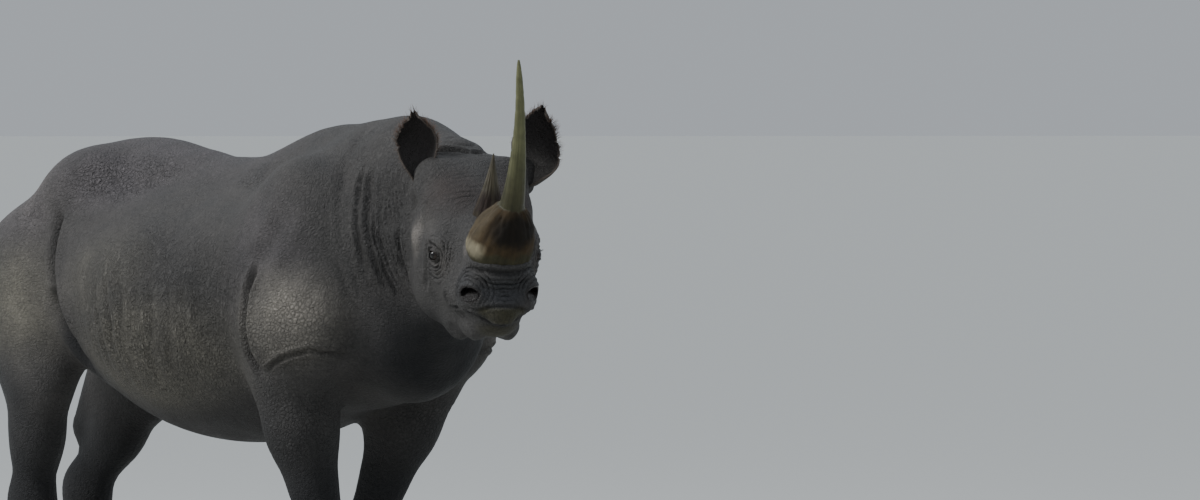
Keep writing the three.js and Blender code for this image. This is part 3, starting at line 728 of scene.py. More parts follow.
@dataclass(frozen=True)
class Crease:
    """A groove along a line on the skin, with raised lips.

    Attributes:
        line: Points along it, near the skin.
        depth: How deep it is, in mm.
        width: Its half width.
        lip: How high its lips stand.
        frame: Body or head coordinates.
        mirrored: The left side has it too.
        shade: How much painted shade it gets in its groove, 0 to 1.
    """

    line: tuple[Vec, ...]
    depth: float
    width: float
    lip: float = 0.0
    frame: Frame = Frame.BODY
    mirrored: bool = True
    shade: float = 0.6

    def press(self, clay: Clay) -> None:
        """Presses it into the skin, along the line as it lies on the flesh."""
        line = np.array(self.line, dtype=float)
        fine = np.stack([mix(line[:-1], line[1:], t) for t in LINE_STEPS], axis=1)
        line = np.concatenate([fine.reshape(-1, 3), line[-1:]])
        if self.frame is Frame.HEAD:
            line = place(HEAD_BACK, draw_onto_flesh(place(HEAD_TURN, line), LINE_REACH, 4))
        else:
            line = draw_onto_flesh(line, LINE_REACH, 4)
        p = clay.where(self.frame, self.mirrored)
        reach = 4.0 * self.width + 4.0
        near = np.flatnonzero(np.all((p > line.min(0) - reach) & (p < line.max(0) + reach), axis=1))
        q = p[near]
        best, along = np.full(len(q), 1e9), np.zeros(len(q))
        for i in range(len(line) - 1):
            ab = line[i + 1] - line[i]
            t = np.clip((q - line[i]) @ ab / max(ab @ ab, 1e-9), 0.0, 1.0)
            away = np.linalg.norm(q - line[i] - t[:, None] * ab, axis=1)
            closer = away < best
            best = np.where(closer, away, best)
            along = np.where(closer, (i + t) / (len(line) - 1), along)
        fade = smooth(np.minimum(along, 1.0 - along) / LINE_END + 0.12)
        x = best / self.width
        groove = np.exp(-x * x)
        lips = np.exp(-((x - LIP_PLACE) ** 2) * 1.2)
        clay.rise[near] += fade * (self.lip * lips - self.depth * groove)
        # painted shade along the crease
        clay.paint("groove", fade * groove * self.shade, near)


@dataclass(frozen=True)
class Folds:
    """Side by side folds of loose skin.

    Attributes:
        across: The direction across the folds, in the zone's frame.
        pitch: The distance from fold to fold.
        height: How high they stand.
        zone: Where they are.
        wander: How far they stray from straight, in mm.
        sharp: Below 1 the valleys are narrow, as in slack skin.
        seed: Picks another pattern.
        shade: How much painted shade the valleys get.
    """

    across: Vec
    pitch: float
    height: float
    zone: Zone
    wander: float = 12.0
    sharp: float = 0.7
    seed: int = 1
    shade: float = 0.9

    def press(self, clay: Clay) -> None:
        """Raises them on the skin."""
        share = self.zone.share(clay)
        near = np.flatnonzero(share > 0.01)
        p = clay.where(self.zone.frame, self.zone.mirrored)[near]
        way = np.array(self.across) / np.linalg.norm(self.across)
        bend = noise(p, self.pitch * 3.2, self.seed) * self.wander
        bend += noise(p, self.pitch * 1.3, self.seed + 9) * self.wander * 0.3
        wave = np.abs(np.sin(np.pi * (p @ way + bend) / self.pitch)) ** self.sharp
        vary = 0.7 + 0.6 * noise(p, self.pitch * 2.4, self.seed + 5)
        clay.rise[near] += self.height * vary * share[near] * (wave - 0.6)
        valley = vary * (1.0 - wave) ** 1.3
        # painted shade in the valleys
        clay.paint("groove", self.shade * np.sqrt(share[near]) * valley, near)


@dataclass(frozen=True)
class Rings:
    """Rings of folds round a point, such as an eye or a nostril.

    Attributes:
        centre: The middle of the rings, in head coordinates.
        pitch: The distance from ring to ring.
        height: How high they stand.
        inner: Where they start, from the centre.
        outer: Where they end.
        aim: The direction in which they are strongest.
        all_round: How strong they are on the other side, 0 to 1.
        seed: Picks another pattern.
    """

    centre: Vec
    pitch: float
    height: float
    inner: float
    outer: float
    aim: Vec = (1.0, 0.0, 0.0)
    all_round: float = 0.4
    seed: int = 3

    def press(self, clay: Clay) -> None:
        """Raises them on the skin."""
        p = clay.where(Frame.HEAD, True)
        d = p - np.array(self.centre)
        r = np.linalg.norm(d, axis=1)
        near = np.flatnonzero((r > self.inner * 0.8) & (r < self.outer))
        q, r, d = p[near], r[near], d[near]
        way = d @ (np.array(self.aim) / np.linalg.norm(self.aim)) / np.maximum(r, 1e-6)
        share = mix(self.all_round, 1.0, smooth(0.5 + way))
        share *= smooth((r - self.inner * 0.8) / self.pitch)
        share *= smooth((self.outer - r) / (self.outer - self.inner) * 2.2)
        bend = noise(q, self.pitch * 3.4, self.seed) * self.pitch * 0.75
        bend += noise(q, self.pitch * 1.4, self.seed + 7) * self.pitch * 0.16
        wave = np.abs(np.sin(np.pi * (r - self.inner + bend) / self.pitch)) ** 0.75
        vary = 0.75 + 0.6 * noise(q, self.pitch * 2.4, self.seed + 4)
        clay.rise[near] += self.height * share * vary * (wave - 0.6)
        # painted shade in the valleys between the rings
        clay.paint("groove", 1.1 * share * vary * (1.0 - wave) ** 1.3, near)


RIM_REACH = 3.4  # how far an opening works the skin, in half widths from its middle
RIM_SNAP = 0.13  # vertices this near an opening's rim are drawn onto it
LID_THICK, LID_ROLL, LID_FOLD = 2.6, 1.8, 2.2  # the lids' edge, its roll and the fold behind


@dataclass(frozen=True)
class Opening:
    """An eye or a nostril: an oval hole in the skin with a worked rim.

    Attributes:
        centre: A point at the opening, on the right side, in head coordinates.
        out: Which way it faces.
        up: About which way is up, along the skin.
        half: Half its width and half its height.
        depth: How far the inside goes in.
        inward: Which way the inside goes.
        rim: How far the rim stands out.
        ball: The radius of the ball that the lids lie on, or 0.
        lobe: How far the lower part is filled by a soft lobe, 0 to 1.
    """

    centre: Vec
    out: Vec
    up: Vec
    half: tuple[float, float]
    depth: float
    inward: Vec = (0.0, 1.0, 0.0)
    rim: float = 2.0
    ball: float = 0.0
    lobe: float = 0.0

    def axes(self, side: Side) -> tuple[Array, Array]:
        """The opening's middle, and its three directions, on one side."""
        mirror = np.array([1.0, -side.value, 1.0])
        w = np.array(self.out) * mirror
        w /= np.linalg.norm(w)
        v = np.array(self.up) * mirror
        v -= w * (v @ w)
        v /= np.linalg.norm(v)
        return np.array(self.centre) * mirror, np.stack([np.cross(v, w) * -side.value, v, w])

    def reach(self, head: Array, side: Side) -> tuple[Array, Array, Array]:
        """Vertices near it, their places in its own axes, and how far out they are in its oval."""
        middle, way = self.axes(side)
        q = (head - middle) @ way.T
        far = RIM_REACH * max(self.half)
        near = np.flatnonzero((np.linalg.norm(q, axis=1) < far) & (q[:, 2] > -0.9 * far))
        q = q[near]
        return near, q, np.hypot(q[:, 0] / self.half[0], q[:, 1] / self.half[1])

    def cut(self, head: Array, side: Side) -> tuple[Array, Array, Array]:
        """Works the opening into the skin.

        Args:
            head: Vertices in head coordinates, already sculpted.
            side: Right or left.

        Returns:
            The numbers of the moved vertices, their new places, and how far out
            each is, where 1 is the rim.
        """
        near, q, r = self.reach(head, side)
        middle, way = self.axes(side)
        snap = np.abs(r - 1.0) < RIM_SNAP
        q[snap, :2] /= r[snap, None]
        r = np.where(snap, 1.0, r)
        flat2 = (q[:, :2] ** 2).sum(axis=1)
        if self.ball:
            shell = self.ball + LID_THICK + LID_ROLL * np.exp(-(((r - 1.28) / 0.2) ** 2))
            lid = np.sqrt(np.maximum(shell**2 - flat2, 0.0))
            q[:, 2] = mix(lid, q[:, 2], smooth((r - 1.1) / 0.95))
            fold = np.exp(-(((r - 1.78) / 0.17) ** 2)) * np.where(q[:, 1] > 0, 1.0, 0.5)
            q[:, 2] -= LID_FOLD * fold
            q[:, 2] = np.where(r < 0.97, -0.35 * self.ball, q[:, 2])
            return near, q @ way + middle, r
        upper = 0.55 + 0.45 * q[:, 1] / np.maximum(np.sqrt(flat2), 1.0)
        q[:, 2] += self.rim * np.exp(-(((r - 1.3) / 0.28) ** 2)) * upper
        moved = q @ way + middle
        inside = r < 0.99
        u, v = q[inside, 0] / self.half[0], q[inside, 1] / self.half[1]
        filled = self.lobe * smooth((0.25 - v + 0.3 * u) / 0.5)
        deep = self.depth * np.sqrt(np.clip(1.0 - r[inside] ** 2, 0.0, 1.0)) * (1.0 - filled)
        moved[inside] += unit(np.array(self.inward) * (1.0, -side.value, 1.0)) * deep[:, None]
        return near, moved, r


def tint(clay: Clay) -> None:
    """Paints the masks that the hide's finish reads, with ragged edges."""
    ragged = 0.85 + 0.25 * noise(clay.body, 90.0, 51) + 0.12 * noise(clay.body, 24.0, 52)
    for mask, zones in TINTS.items():
        for zone, strength in zones:
            clay.paint(mask, strength * zone.share(clay) * ragged)


# ---------- where the folds and tints are
H = Frame.HEAD
EYE_HOLE = Opening(
    centre=(268, -137, -190), out=(0.42, -0.88, 0.1), up=(-0.05, 0.0, 1.0),
    half=(19.0, 12.0), depth=0.0, ball=EYE_RADIUS,
)
NOSTRIL = Opening(
    centre=(509, -90, -215), out=(0.72, -0.68, 0.12), up=(-0.1, -0.25, 1.0),
    half=(32.0, 21.0), depth=44.0, inward=(-0.8, 0.42, 0.1), rim=6.0, lobe=0.8,
)
OPENINGS = (EYE_HOLE, NOSTRIL)

# soft lumps and hollows: where, and how far the skin stands out
SWELLS = (
    (Zone((262, -134, -146), (72, 45, 26), H), 8),
    (Zone((290, -138, -226), (44, 36, 18), H), 3),
    (Zone((508, -92, -184), (48, 45, 24), H), 6),
    (Zone((468, -104, -262), (36, 36, 24), H), 5),
    (Zone((130, -168, -190), (52, 40, 40), H), 7),
    (Zone((552, 0, -250), (40, 62, 34), H, False), 4),
    (Zone((120, -345, 1010), (170, 120, 110)), 7),
    (Zone((418, -60, -362), (74, 50, 40), H), 9),
    (Zone((330, -88, -396), (44, 40, 36), H), -7),
)
CREASES = (
    # mouth
    Crease((
        (336, -107, -318), (385, -106, -302), (441, -99, -281), (480, -86, -272),
        (505, -70, -270), (516, -50, -284), (535, -28, -287), (556, -12, -283), (560, 0, -281),
        (556, 40, -283),
    ), 8, 5, 3, H, shade=0.6),
    # between the nostrils and the lip
    Crease((
        (500, -100, -256), (528, -76, -258), (548, -46, -240), (560, -16, -233),
        (562, 0, -232), (560, 30, -233),
    ), 5, 5, 2, H, shade=0.4),
    # under the front horn's pad
    Crease((
        (452, -104, -150), (490, -84, -146), (520, -50, -143), (536, -20, -141),
        (540, 0, -141), (536, 34, -141),
    ), 8, 8, 3, H, shade=0.5),
    # down the cheek, behind the eye
    Crease((
        (208, -155, -140), (222, -157, -180), (232, -158, -224), (222, -147, -275),
        (196, -140, -325),
    ), 5, 9, 3, H, shade=0.15),
    # over and under the eye
    Crease((
        (226, -158, -172), (250, -150, -162), (280, -142, -160), (308, -134, -170),
        (320, -130, -186),
    ), 5, 4.5, 2.5, H, shade=0.7),
    Crease((
        (236, -158, -214), (262, -152, -224), (292, -144, -222), (316, -134, -208),
    ), 4, 4, 2, H, shade=0.6),
    # poll: between the nape and the forehead
    Crease((
        (-100, -118, -32), (-80, -96, -12), (-45, -41, 1), (-22, 0, 2),
    ), 10, 9, 6, H, shade=0.25),
    # the ear's front root, a ridge
    Crease((
        (-20, -128, -60), (-10, -140, -96), (12, -146, -130), (40, -148, -160),
    ), -7, 10, 0, H, shade=0),
    # jaw to throat
    Crease((
        (60, -150, -400), (10, -165, -350), (-30, -180, -280), (-52, -184, -220),
    ), 9, 10, 5, H, shade=0.6),
    # in front of the thigh
    Crease((
        (-1092, -292, 1340), (-1082, -312, 1275), (-1066, -334, 1205), (-1045, -350, 1140),
        (-1005, -360, 1065), (-965, -358, 995), (-935, -345, 930),
    ), 32, 18, 9, mirrored=False, shade=1),
    Crease((
        (-1060, -345, 1110), (-1025, -345, 1020), (-985, -325, 930), (-950, -300, 850),
    ), 46, 40, 5, mirrored=False, shade=1),
    Crease((
        (-1140, 300, 1330), (-1120, 330, 1230), (-1110, 350, 1130), (-1130, 345, 1030),
    ), 16, 26, 7, mirrored=False, shade=0.5),
    # behind the shoulder
    Crease(((150, -338, 1350), (108, -361, 1272), (34, -368, 1180)), 5, 30, 5, shade=0.15),
    Crease((
        (40, -368, 1200), (4, -378, 1108), (14, -392, 1008), (30, -380, 930), (58, -365, 868),
    ), 15, 13, 9, shade=0.4),
    # round the elbow
    Crease((
        (72, -368, 880), (110, -368, 908), (160, -362, 930), (229, -329, 949),
        (267, -254, 942), (280, -190, 925),
    ), 7, 7, 5, shade=0.3),
    # neck to shoulder
    Crease((
        (185, -99, 1576), (207, -151, 1527), (221, -189, 1478), (244, -216, 1433),
        (266, -236, 1380),
    ), 7, 16, 4, shade=0.12),
    Crease((
        (338, -176, 1476), (346, -198, 1410), (359, -210, 1340), (388, -226, 1263),
        (414, -216, 1170), (447, -198, 1105),
    ), 9, 9, 7, shade=0.2),
    Crease((
        (300, -190, 1490), (308, -214, 1420), (322, -228, 1340), (350, -240, 1250),
        (372, -236, 1160),
    ), 7, 8, 6, shade=0.2),
    Crease((
        (352, -182, 1440), (372, -204, 1370), (392, -214, 1300), (420, -210, 1220),
    ), 7, 7, 5, shade=0.2),
    Crease((
        (386, -196, 1330), (408, -214, 1250), (440, -208, 1170), (480, -196, 1090),
    ), 8, 7, 5, shade=0.25),
)
FOLDS: tuple[Folds | Rings, ...] = (
    Rings((276, -138, -192), 10, 7, 24, 100, aim=(0.9, -0.2, -0.4), all_round=0.45),
    Rings((505, -92, -218), 11.5, 7, 30, 108, aim=(-0.7, 0, 0.8), all_round=0.25, seed=8),
    Rings((374, -116, -290), 8.5, 5, 5, 48, aim=(0.2, 0, 1), all_round=0.8, seed=12),
    Folds((0.25, 0, 1), 12.5, 7, Zone((525, 0, -166), (60, 98, 42), H), wander=6, seed=21),
    Folds((0.1, 0, 1), 10, 3.6, Zone((560, 0, -208), (40, 52, 28), H), wander=4, seed=22),
    Folds((0.1, 1, 0.2), 11, 0.9, Zone((560, 0, -260), (40, 60, 24), H), wander=5, seed=28),
    Folds((0.5, 0, 1), 15, 2.6, Zone((430, -90, -330), (120, 80, 36), H), wander=9, seed=29),
    Folds((1, -0.1, -0.2), 14, 4.5, Zone((80, -135, -112), (120, 90, 100), H),
          wander=12, seed=23),
    Folds((1, 0, 0.25), 21, 2, Zone((150, -50, -20), (150, 100, 60), H), wander=12, seed=30),
    Folds((1, 0, 0.4), 18, 7.5, Zone((468, -205, 1300), (110, 130, 230)),
          wander=9, seed=24, shade=0.6),
    Folds((0.35, 0, 1), 21, 6, Zone((585, -60, 1535), (125, 170, 66), mirrored=False),
          wander=8, seed=25, shade=0.12),
    Folds((1, 0, 0.35), 66, 15, Zone((-520, -390, 1010), (430, 200, 230)),
          wander=40, seed=26, sharp=1, shade=0.4),
    Folds((1, 0, 0.3), 32, 6, Zone((300, -250, 1220), (130, 180, 330)),
          wander=24, seed=27, shade=0.3),
    Folds((0.2, 0, 1), 26, 2.4, Zone((90, -300, 700), (120, 160, 150)),
          wander=16, seed=31, shade=0.3),
    Folds((0.8, 0, 1), 40, 5, Zone((-960, -200, 1440), (260, 220, 110)),
          wander=30, seed=32, shade=0.3),
)
# where the hide's colour or surface differs, and where light and shade are painted on it: the mask,
# its zones and their strengths
TINTS: dict[str, tuple[tuple[Zone, float], ...]] = {
    "dust": (
        (Zone((-480, -420, 900), (600, 240, 270)), 0.85),
        (Zone((-1260, -340, 1060), (300, 220, 260), core=0), 1),
        (Zone((130, -350, 1040), (270, 220, 200), core=0), 1),
        (Zone((-720, -400, 1130), (330, 160, 210)), 0.5),
    ),
    "pebble": (
        (Zone((150, -350, 1000), (220, 190, 150)), 1),
        (Zone((60, -300, 760), (190, 200, 170)), 0.7),
        (Zone((-520, -400, 900), (600, 260, 230)), 0.7),
    ),
    # painted light: the top of the back, the hips and the shoulders made lighter where light falls
    # from above
    "top": (
        (Zone((-960, -220, 1440), (420, 240, 160)), 1),
        (Zone((60, -320, 1200), (230, 200, 280)), 0.7),
        (Zone((-1290, -230, 1350), (230, 240, 210)), 1),
        (Zone((-760, 0, 1560), (900, 460, 260), mirrored=False, core=0.1), 1),
    ),
    "rib": (
        (Zone((-450, -400, 1060), (620, 200, 330)), 1),
        (Zone((440, -200, 1280), (180, 160, 330)), 0.8),
    ),
    "rough": (
        (Zone((-870, -200, 1430), (280, 230, 110)), 1),
        (Zone((-1270, -240, 1340), (150, 140, 130)), 0.8),
        (Zone((-280, -160, 1440), (150, 150, 60)), 0.8),
    ),
    "warm": (
        (Zone((140, -60, -70), (170, 130, 90), H), 1),
    ),
    "pale": (
        (Zone((122, -172, -190), (60, 60, 92), H, core=0), 0.42),
        (Zone((404, -90, -112), (46, 46, 42), H, core=0), 0.42),
        (Zone((305, -130, -185), (85, 60, 80), H, core=0), 0.12),
        (Zone((-1270, -250, 1380), (200, 220, 170), core=0), 0.12),
        (Zone((180, -350, 1040), (260, 200, 180), core=0), 0.3),
        (Zone((180, -130, -130), (120, 60, 60), H, core=0), 0.12),
    ),
    "olive": (
        (Zone((545, 0, -258), (70, 84, 30), H, core=0.6), 1),
        (Zone((500, 0, -325), (90, 76, 52), H), 0.9),
    ),
    # painted shade on the chest under the neck, under the jaw and the lower lip, in the hollow in
    # front of the right thigh and round the eye; on the hind legs, mud and painted shade together
    "dark": (
        (Zone((540, 0, -296), (60, 70, 18), H), 0.7),
        (Zone((268, -140, -190), (28, 30, 19), H, core=0.5), 0.85),
        (Zone((470, 0, 960), (350, 350, 290)), 1),
        (Zone((150, 0, -400), (300, 200, 90), H), 0.8),
        (Zone((-1420, -330, 720), (260, 220, 220)), 0.9),
        (Zone((-985, -310, 880), (130, 120, 260), mirrored=False), 1),
    ),
    # painted shade under the front horn's pad, where it overhangs the muzzle
    "groove": (
        (Zone((528, 0, -143), (60, 96, 16), H), 0.8),
    ),
    "blue": (
        (Zone((530, 0, -196), (70, 110, 60), H), 1),
        (Zone((470, -100, -200), (80, 60, 70), H), 0.6),
    ),
}

# where the skin's mesh is finer, and the spacing there
SPACINGS = (
    (Zone((230, 0, -200), (470, 420, 420), H, mirrored=False, core=0.72), 10),
    (Zone((330, -60, -190), (350, 150, 200), H, core=0.88), 5.1),
    (Zone((500, -80, -215), (90, 74, 92), H, core=0.86), 2.5),
    (Zone((520, 0, -170), (80, 100, 60), H, core=0.85), 2.5),
    (Zone((540, 0, -262), (50, 90, 46), H, core=0.85), 2.5),
    (Zone((380, -112, -285), (70, 50, 45), H, core=0.85), 2.5),
    (Zone((276, -138, -192), (74, 60, 74), H, core=0.86), 2.5),
    (Zone((268, -137, -190), (34, 34, 30), H, core=0.8), 1.3),
    (Zone((430, -160, 1310), (230, 250, 330), core=0.7), 10),
    (Zone((450, -205, 1280), (90, 110, 210), core=0.75), 5),
    (Zone((585, -60, 1535), (110, 170, 60), mirrored=False, core=0.8), 5),
    (Zone((140, -330, 940), (170, 200, 110), core=0.7), 10),
    (Zone((160, -330, 930), (120, 150, 44), core=0.8), 5),
    (Zone((40, -370, 1120), (110, 120, 260), core=0.7), 10),
    (Zone((20, -378, 1040), (40, 90, 190), core=0.8), 5),
    (Zone((-1020, -340, 1130), (130, 120, 240), core=0.7), 10),
    (Zone((-1700, 0, 900), (120, 90, 330), core=0.7), 10),
)


@dataclass
class SkinShape:
    """The skin's mesh: drawn round the flesh, refined and sculpted.

    Attributes:
        step: The grid's spacing on the trunk, in mm.
        low: Low corner of the box that is meshed.
        high: High corner of that box.
        passes: How far new vertices may move in each pass of splitting, halved, in mm.
        slack: How much longer than its zone asks for an edge may be.
    """

    step: float = 21.0
    low: Vec = (-1840.0, -480.0, -40.0)
    high: Vec = (1300.0, 480.0, 1680.0)
    passes: tuple[float, ...] = (8.0, 5.0, 3.0, 2.0)
    slack: float = 1.55

    def build(self) -> tuple[Net, Clay]:
        """The finished shape, and the masks painted on it."""
        net = surface_net(FLESH.distance, np.array(self.low), np.array(self.high), self.step)
        net.points = draw_onto_flesh(net.points, self.step, 2)
        self._refine(net)
        return net, self._sculpt(net)

    def _wanted(self, points: Array) -> Array:
        """The spacing asked for at each place."""
        clay = Clay(points, place(HEAD_BACK, points), np.zeros(len(points)))
        wanted = np.full(len(points), 99.0)
        for zone, spacing in SPACINGS:
            share = zone.share(clay)
            asked = mix(self.step, spacing, share)
            wanted = np.where(share > 0.02, np.minimum(wanted, asked), wanted)
        return wanted

    def _refine(self, net: Net) -> None:
        """Splits faces where the zones ask for it, and draws the new points on."""
        for step in self.passes:
            centres = net.points[net.faces].mean(axis=1)
            chosen = net.spacing() > self.slack * self._wanted(centres)
            if not chosen.any():
                break
            net.refine(chosen)
            fine = self._wanted(net.points) < self.step * 0.97
            net.relax(0.5, fine)
            net.points[fine] = draw_onto_flesh(net.points[fine], step * 2, 2)

    def _sculpt(self, net: Net) -> Clay:
        """Presses folds, creases, lids and nostrils into the skin."""
        normal = unit(FLESH.slope(net.points, 2.0)[1])
        clay = Clay(net.points, place(HEAD_BACK, net.points), np.zeros(len(net.points)))
        for zone, height in SWELLS:
            clay.rise += height * zone.share(clay)
        for work in (*CREASES, *FOLDS):
            work.press(clay)
        tint(clay)
        clay.rise *= smooth(net.points[:, 2] / 60.0)
        net.points = net.points + normal * clay.rise[:, None]
        head = place(HEAD_BACK, net.points)
        for opening in OPENINGS:
            for side in Side:
                near, moved, r = opening.cut(head, side)
                head[near] = moved
                net.points[near] = place(HEAD_TURN, moved)
                # wet rims and insides of the eyes and nostrils: glossier, and darker as wet skin
                # and as painted shade inside the nostrils and under the lids
                clay.paint("wet", smooth((1.5 - r) / 0.45), near)
        clay.body, clay.head = net.points, head
        return clay


# ---------- ears
@dataclass(frozen=True)
class Ear:
    """One ear: a leaf rolled round an upright axis, a tube at the root and a cup above.

    Attributes:
        side: Right or left.
        root: Where it grows from, in head coordinates.
        lean: Degrees that it leans outward.
        face: Degrees that the cup is turned outward from straight ahead.
        length: From root to tip.
        half_width: Half the width of the leaf.
        widest: Where it is widest, as a share of the length.
        foot: How wide it is at the root, as a share of the half width.
        tip_in: How far the tip bends towards the other ear.
        rows: Mesh rows up the ear.
        columns: Mesh columns round it.
    """

    side: Side
    root: Vec
    lean: float
    face: float
    length: float
    half_width: float
    widest: float
    foot: float
    tip_in: float
    rows: int = 52
    columns: int = 36

    def frame(self) -> Array:
        """The matrix from the ear's own axes to working places."""
        s = self.side.value
        own = shift(self.root[0], s * self.root[1], self.root[2]) @ turn("x", -self.lean * s)
        return HEAD_TURN @ own @ turn("y", -HEAD_PITCH * 0.6) @ turn("z", self.face * s)

    def spot(self, t: Array, s: Array, inset: Array) -> Array:
        """Points on the leaf.

        Args:
            t: 0 at the root, 1 at the tip.
            s: -1 at one rim, 0 at the back, 1 at the other rim.
            inset: How far inside the outer face, in mm.

        Returns:
            Places in the ear's own axes.
        """
        below = smooth(t / self.widest)
        above = np.clip((t - self.widest) / (1.03 - self.widest), 0.0, 1.0)
        half = self.half_width * mix(self.foot, 1.0, below) * (1.0 - above**1.7) ** 0.72
        if self.side is Side.LEFT:
            half = half * mix(0.5, 1.0, np.sqrt(1.0 - (1.0 - np.clip(t / 0.26, 0.0, 1.0)) ** 2))
        wrap = np.radians(mix(150.0, 82.0, smooth(t * 1.6)))
        roll = half / np.sin(np.minimum(wrap, math.pi / 2))
        r = roll - inset
        height = (self.length + 16.0) * t - 14.0 - 18.0 * t * s * s
        across = r * np.sin(wrap * s) - self.side.value * self.tip_in * t * t
        return np.stack([roll * 0.1 - r * np.cos(wrap * s), across, height], axis=-1)

    def _thickness(self, t: Array, s: Array) -> Array:
        """Thick at the root, thin at the rim."""
        return mix(11.0, 5.5, t) * (1.0 - 0.45 * np.abs(s) ** 2)

    def ragged(self, t: Array, s: Array, points: Array) -> Array:
        """Nicks in the upper rim, and soft waves over the leaf."""
        rim = np.maximum(smooth((np.abs(s) - 0.72) / 0.28), smooth((t - 0.84) / 0.16))
        high = smooth((t - 0.42) / 0.2)
        key = np.stack([s * 40.0, t * 170.0, np.full_like(t, 7.0)], axis=-1)
        nick = np.maximum(noise(key, 5.5, 31 + self.side.value), 0.0)
        nick += 0.5 * noise(key, 12.0, 35 + self.side.value)
        inward = unit(np.array([0.0, 0.0, self.length * self.widest]) - points)
        wave = noise(points, 34.0, 41 + self.side.value)
        moved = points + inward * (rim * high * (nick * 11.0))[..., None]
        moved[..., 0] += 3.5 * wave * smooth(t * 2.0)
        return moved

    def build(self) -> tuple[Net, dict[str, Array]]:
        """The ear as a closed shell, and its masks."""
        up, round_ = np.linspace(0.0, 1.0, self.rows + 1), np.linspace(-1.0, 1.0, self.columns + 1)
        t, s = np.meshgrid(up, round_, indexing="ij")
        sheets = []
        for inner in (0.0, 1.0):
            sheets.append(self.ragged(t, s, self.spot(t, s, inner * self._thickness(t, s))))
        points = place(self.frame(), np.concatenate([q.reshape(-1, 3) for q in sheets]))
        size = t.size
        number = np.arange(size).reshape(t.shape)
        grid = [number[:-1, :-1], number[:-1, 1:], number[1:, 1:], number[1:, :-1]]
        outer = np.stack([g.ravel() for g in grid], axis=1)
        quads = [outer, outer[:, ::-1] + size]
        edges = [number[0, :-1], number[:-1, -1], number[-1, :0:-1], number[:0:-1, 0]]
        loop = np.concatenate(edges)
        after = np.roll(loop, -1)
        quads.append(np.stack([after, loop, loop + size, after + size], axis=1))
        net = Net(points, halved(np.concatenate(quads)))
        net.face_out()
        rim = np.maximum(np.abs(s) ** 6, smooth((t - 0.9) / 0.1)).ravel()
        # painted shade inside the ear's cup, stronger higher up and weaker at the rims
        cup = (1.0 - 0.6 * rim) * (0.3 + 0.7 * smooth((t - 0.12) / 0.4).ravel())
        none = np.zeros(size)
        masks = {"rim": 0.7 * np.tile(rim, 2)}
        # painted light: the left ear's lower inside is made paler and loses its painted shade, as
        # if lit
        if self.side is Side.LEFT:
            lower = 1.0 - smooth((t - 0.3) / 0.35).ravel()
            masks["pale"] = np.concatenate([none, 0.2 * lower])
            cup *= 1.0 - 0.9 * lower
        masks["cup"] = np.concatenate([none, cup])
        return net, masks


EARS = (
    Ear(Side.RIGHT, (-12.0, 136.0, -90.0), 9.0, 20.0, 212.0, 62.0, 0.66, 0.3, 0.0),
    Ear(Side.LEFT, (0.0, 160.0, -62.0), 24.0, -4.0, 206.0, 76.0, 0.46, 0.58, 42.0),
)


# ---------- making objects
def packed_offset() -> Array:
    """Where X = 0, Y = 0 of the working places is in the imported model, in metres."""
    low, high = (np.array(c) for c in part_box("right_eye"))
    eye = place(HEAD_TURN, np.array([[EYE_PLACE[0], -EYE_PLACE[1], EYE_PLACE[2]]]))[0]
    found = (low + high) / 2.0 - eye / 1000.0
    return np.array([found[0], found[1], 0.0])


OFFSET = packed_offset()


def set_layer(mesh: Mesh, name: str, values: Array) -> None:
    """Keeps one number, or a row of three, at each vertex as an attribute."""
    kind, key = ("FLOAT_VECTOR", "vector") if values.ndim == 2 else ("FLOAT", "value")
    layer = mesh.attributes.new(name, kind, "POINT")
    layer.data.foreach_set(key, values.astype(np.float32).ravel())


def get_layer(mesh: Mesh, name: str) -> Array:
    """Reads an attribute back, as set_layer takes it."""
    layer = mesh.attributes[name]
    wide, key = (3, "vector") if layer.data_type == "FLOAT_VECTOR" else (1, "value")
    values = np.empty(len(layer.data) * wide)
    layer.data.foreach_get(key, values)
    return values.reshape(-1, wide).squeeze()


def mesh_object(name: str, net: Net, masks: dict[str, Array] | None = None) -> Object:
    """Makes a smooth-shaded object.

    Args:
        name: The piece's name.
        net: Its mesh, in working mm.
        masks: Named values at the vertices, kept as attributes.

    Returns:
        The object, at the origin, with its place in its mesh.
    """
    mesh = bpy.data.meshes.new(name)
    mesh.from_pydata((net.points / 1000.0 + OFFSET).tolist(), [], net.faces.tolist())
    mesh.polygons.foreach_set("use_smooth", np.ones(len(mesh.polygons), dtype=bool))
    for key, values in (masks or {}).items():
        set_layer(mesh, key, values)
    mesh.update()
    obj = bpy.data.objects.new(name, mesh)
    bpy.context.scene.collection.objects.link(obj)
    return obj


def hand_over(obj: Object, material: Material, slot: str, *nodes: str) -> None:
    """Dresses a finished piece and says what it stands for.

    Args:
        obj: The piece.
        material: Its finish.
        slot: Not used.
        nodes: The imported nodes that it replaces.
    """
    obj.data.materials.clear()
    obj.data.materials.append(material)
    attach(obj, "root")
    if nodes:
        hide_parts(*nodes)
    count = len(obj.data.polygons)
    LOG.info("%s: %d faces, replaces %s", obj.name, count, ", ".join(nodes) or "nothing")


def shell_net(rings: Array) -> Net:
    """Closes a stack of rings into a solid with a point at each end.

    Args:
        rings: Rings from the bottom up, as [ring, place round it, xyz].

    Returns:
        A closed mesh that faces outwards.
    """
    count, sides = rings.shape[:2]
    number = np.arange(count * sides).reshape(count, sides)
    after = np.roll(number, -1, axis=1)
    quad = np.stack([g.ravel() for g in (number[:-1], after[:-1], after[1:], number[1:])], axis=1)
    faces = [halved(quad)]
    bottom, top = count * sides, count * sides + 1
    faces.append(np.stack([after[0], number[0], np.full(sides, bottom)], axis=1))
    faces.append(np.stack([number[-1], after[-1], np.full(sides, top)], axis=1))
    points = np.concatenate([rings.reshape(-1, 3), rings[:1].mean(axis=1), rings[-1:].mean(axis=1)])
    net = Net(points, np.concatenate(faces))
    net.face_out()
    return net


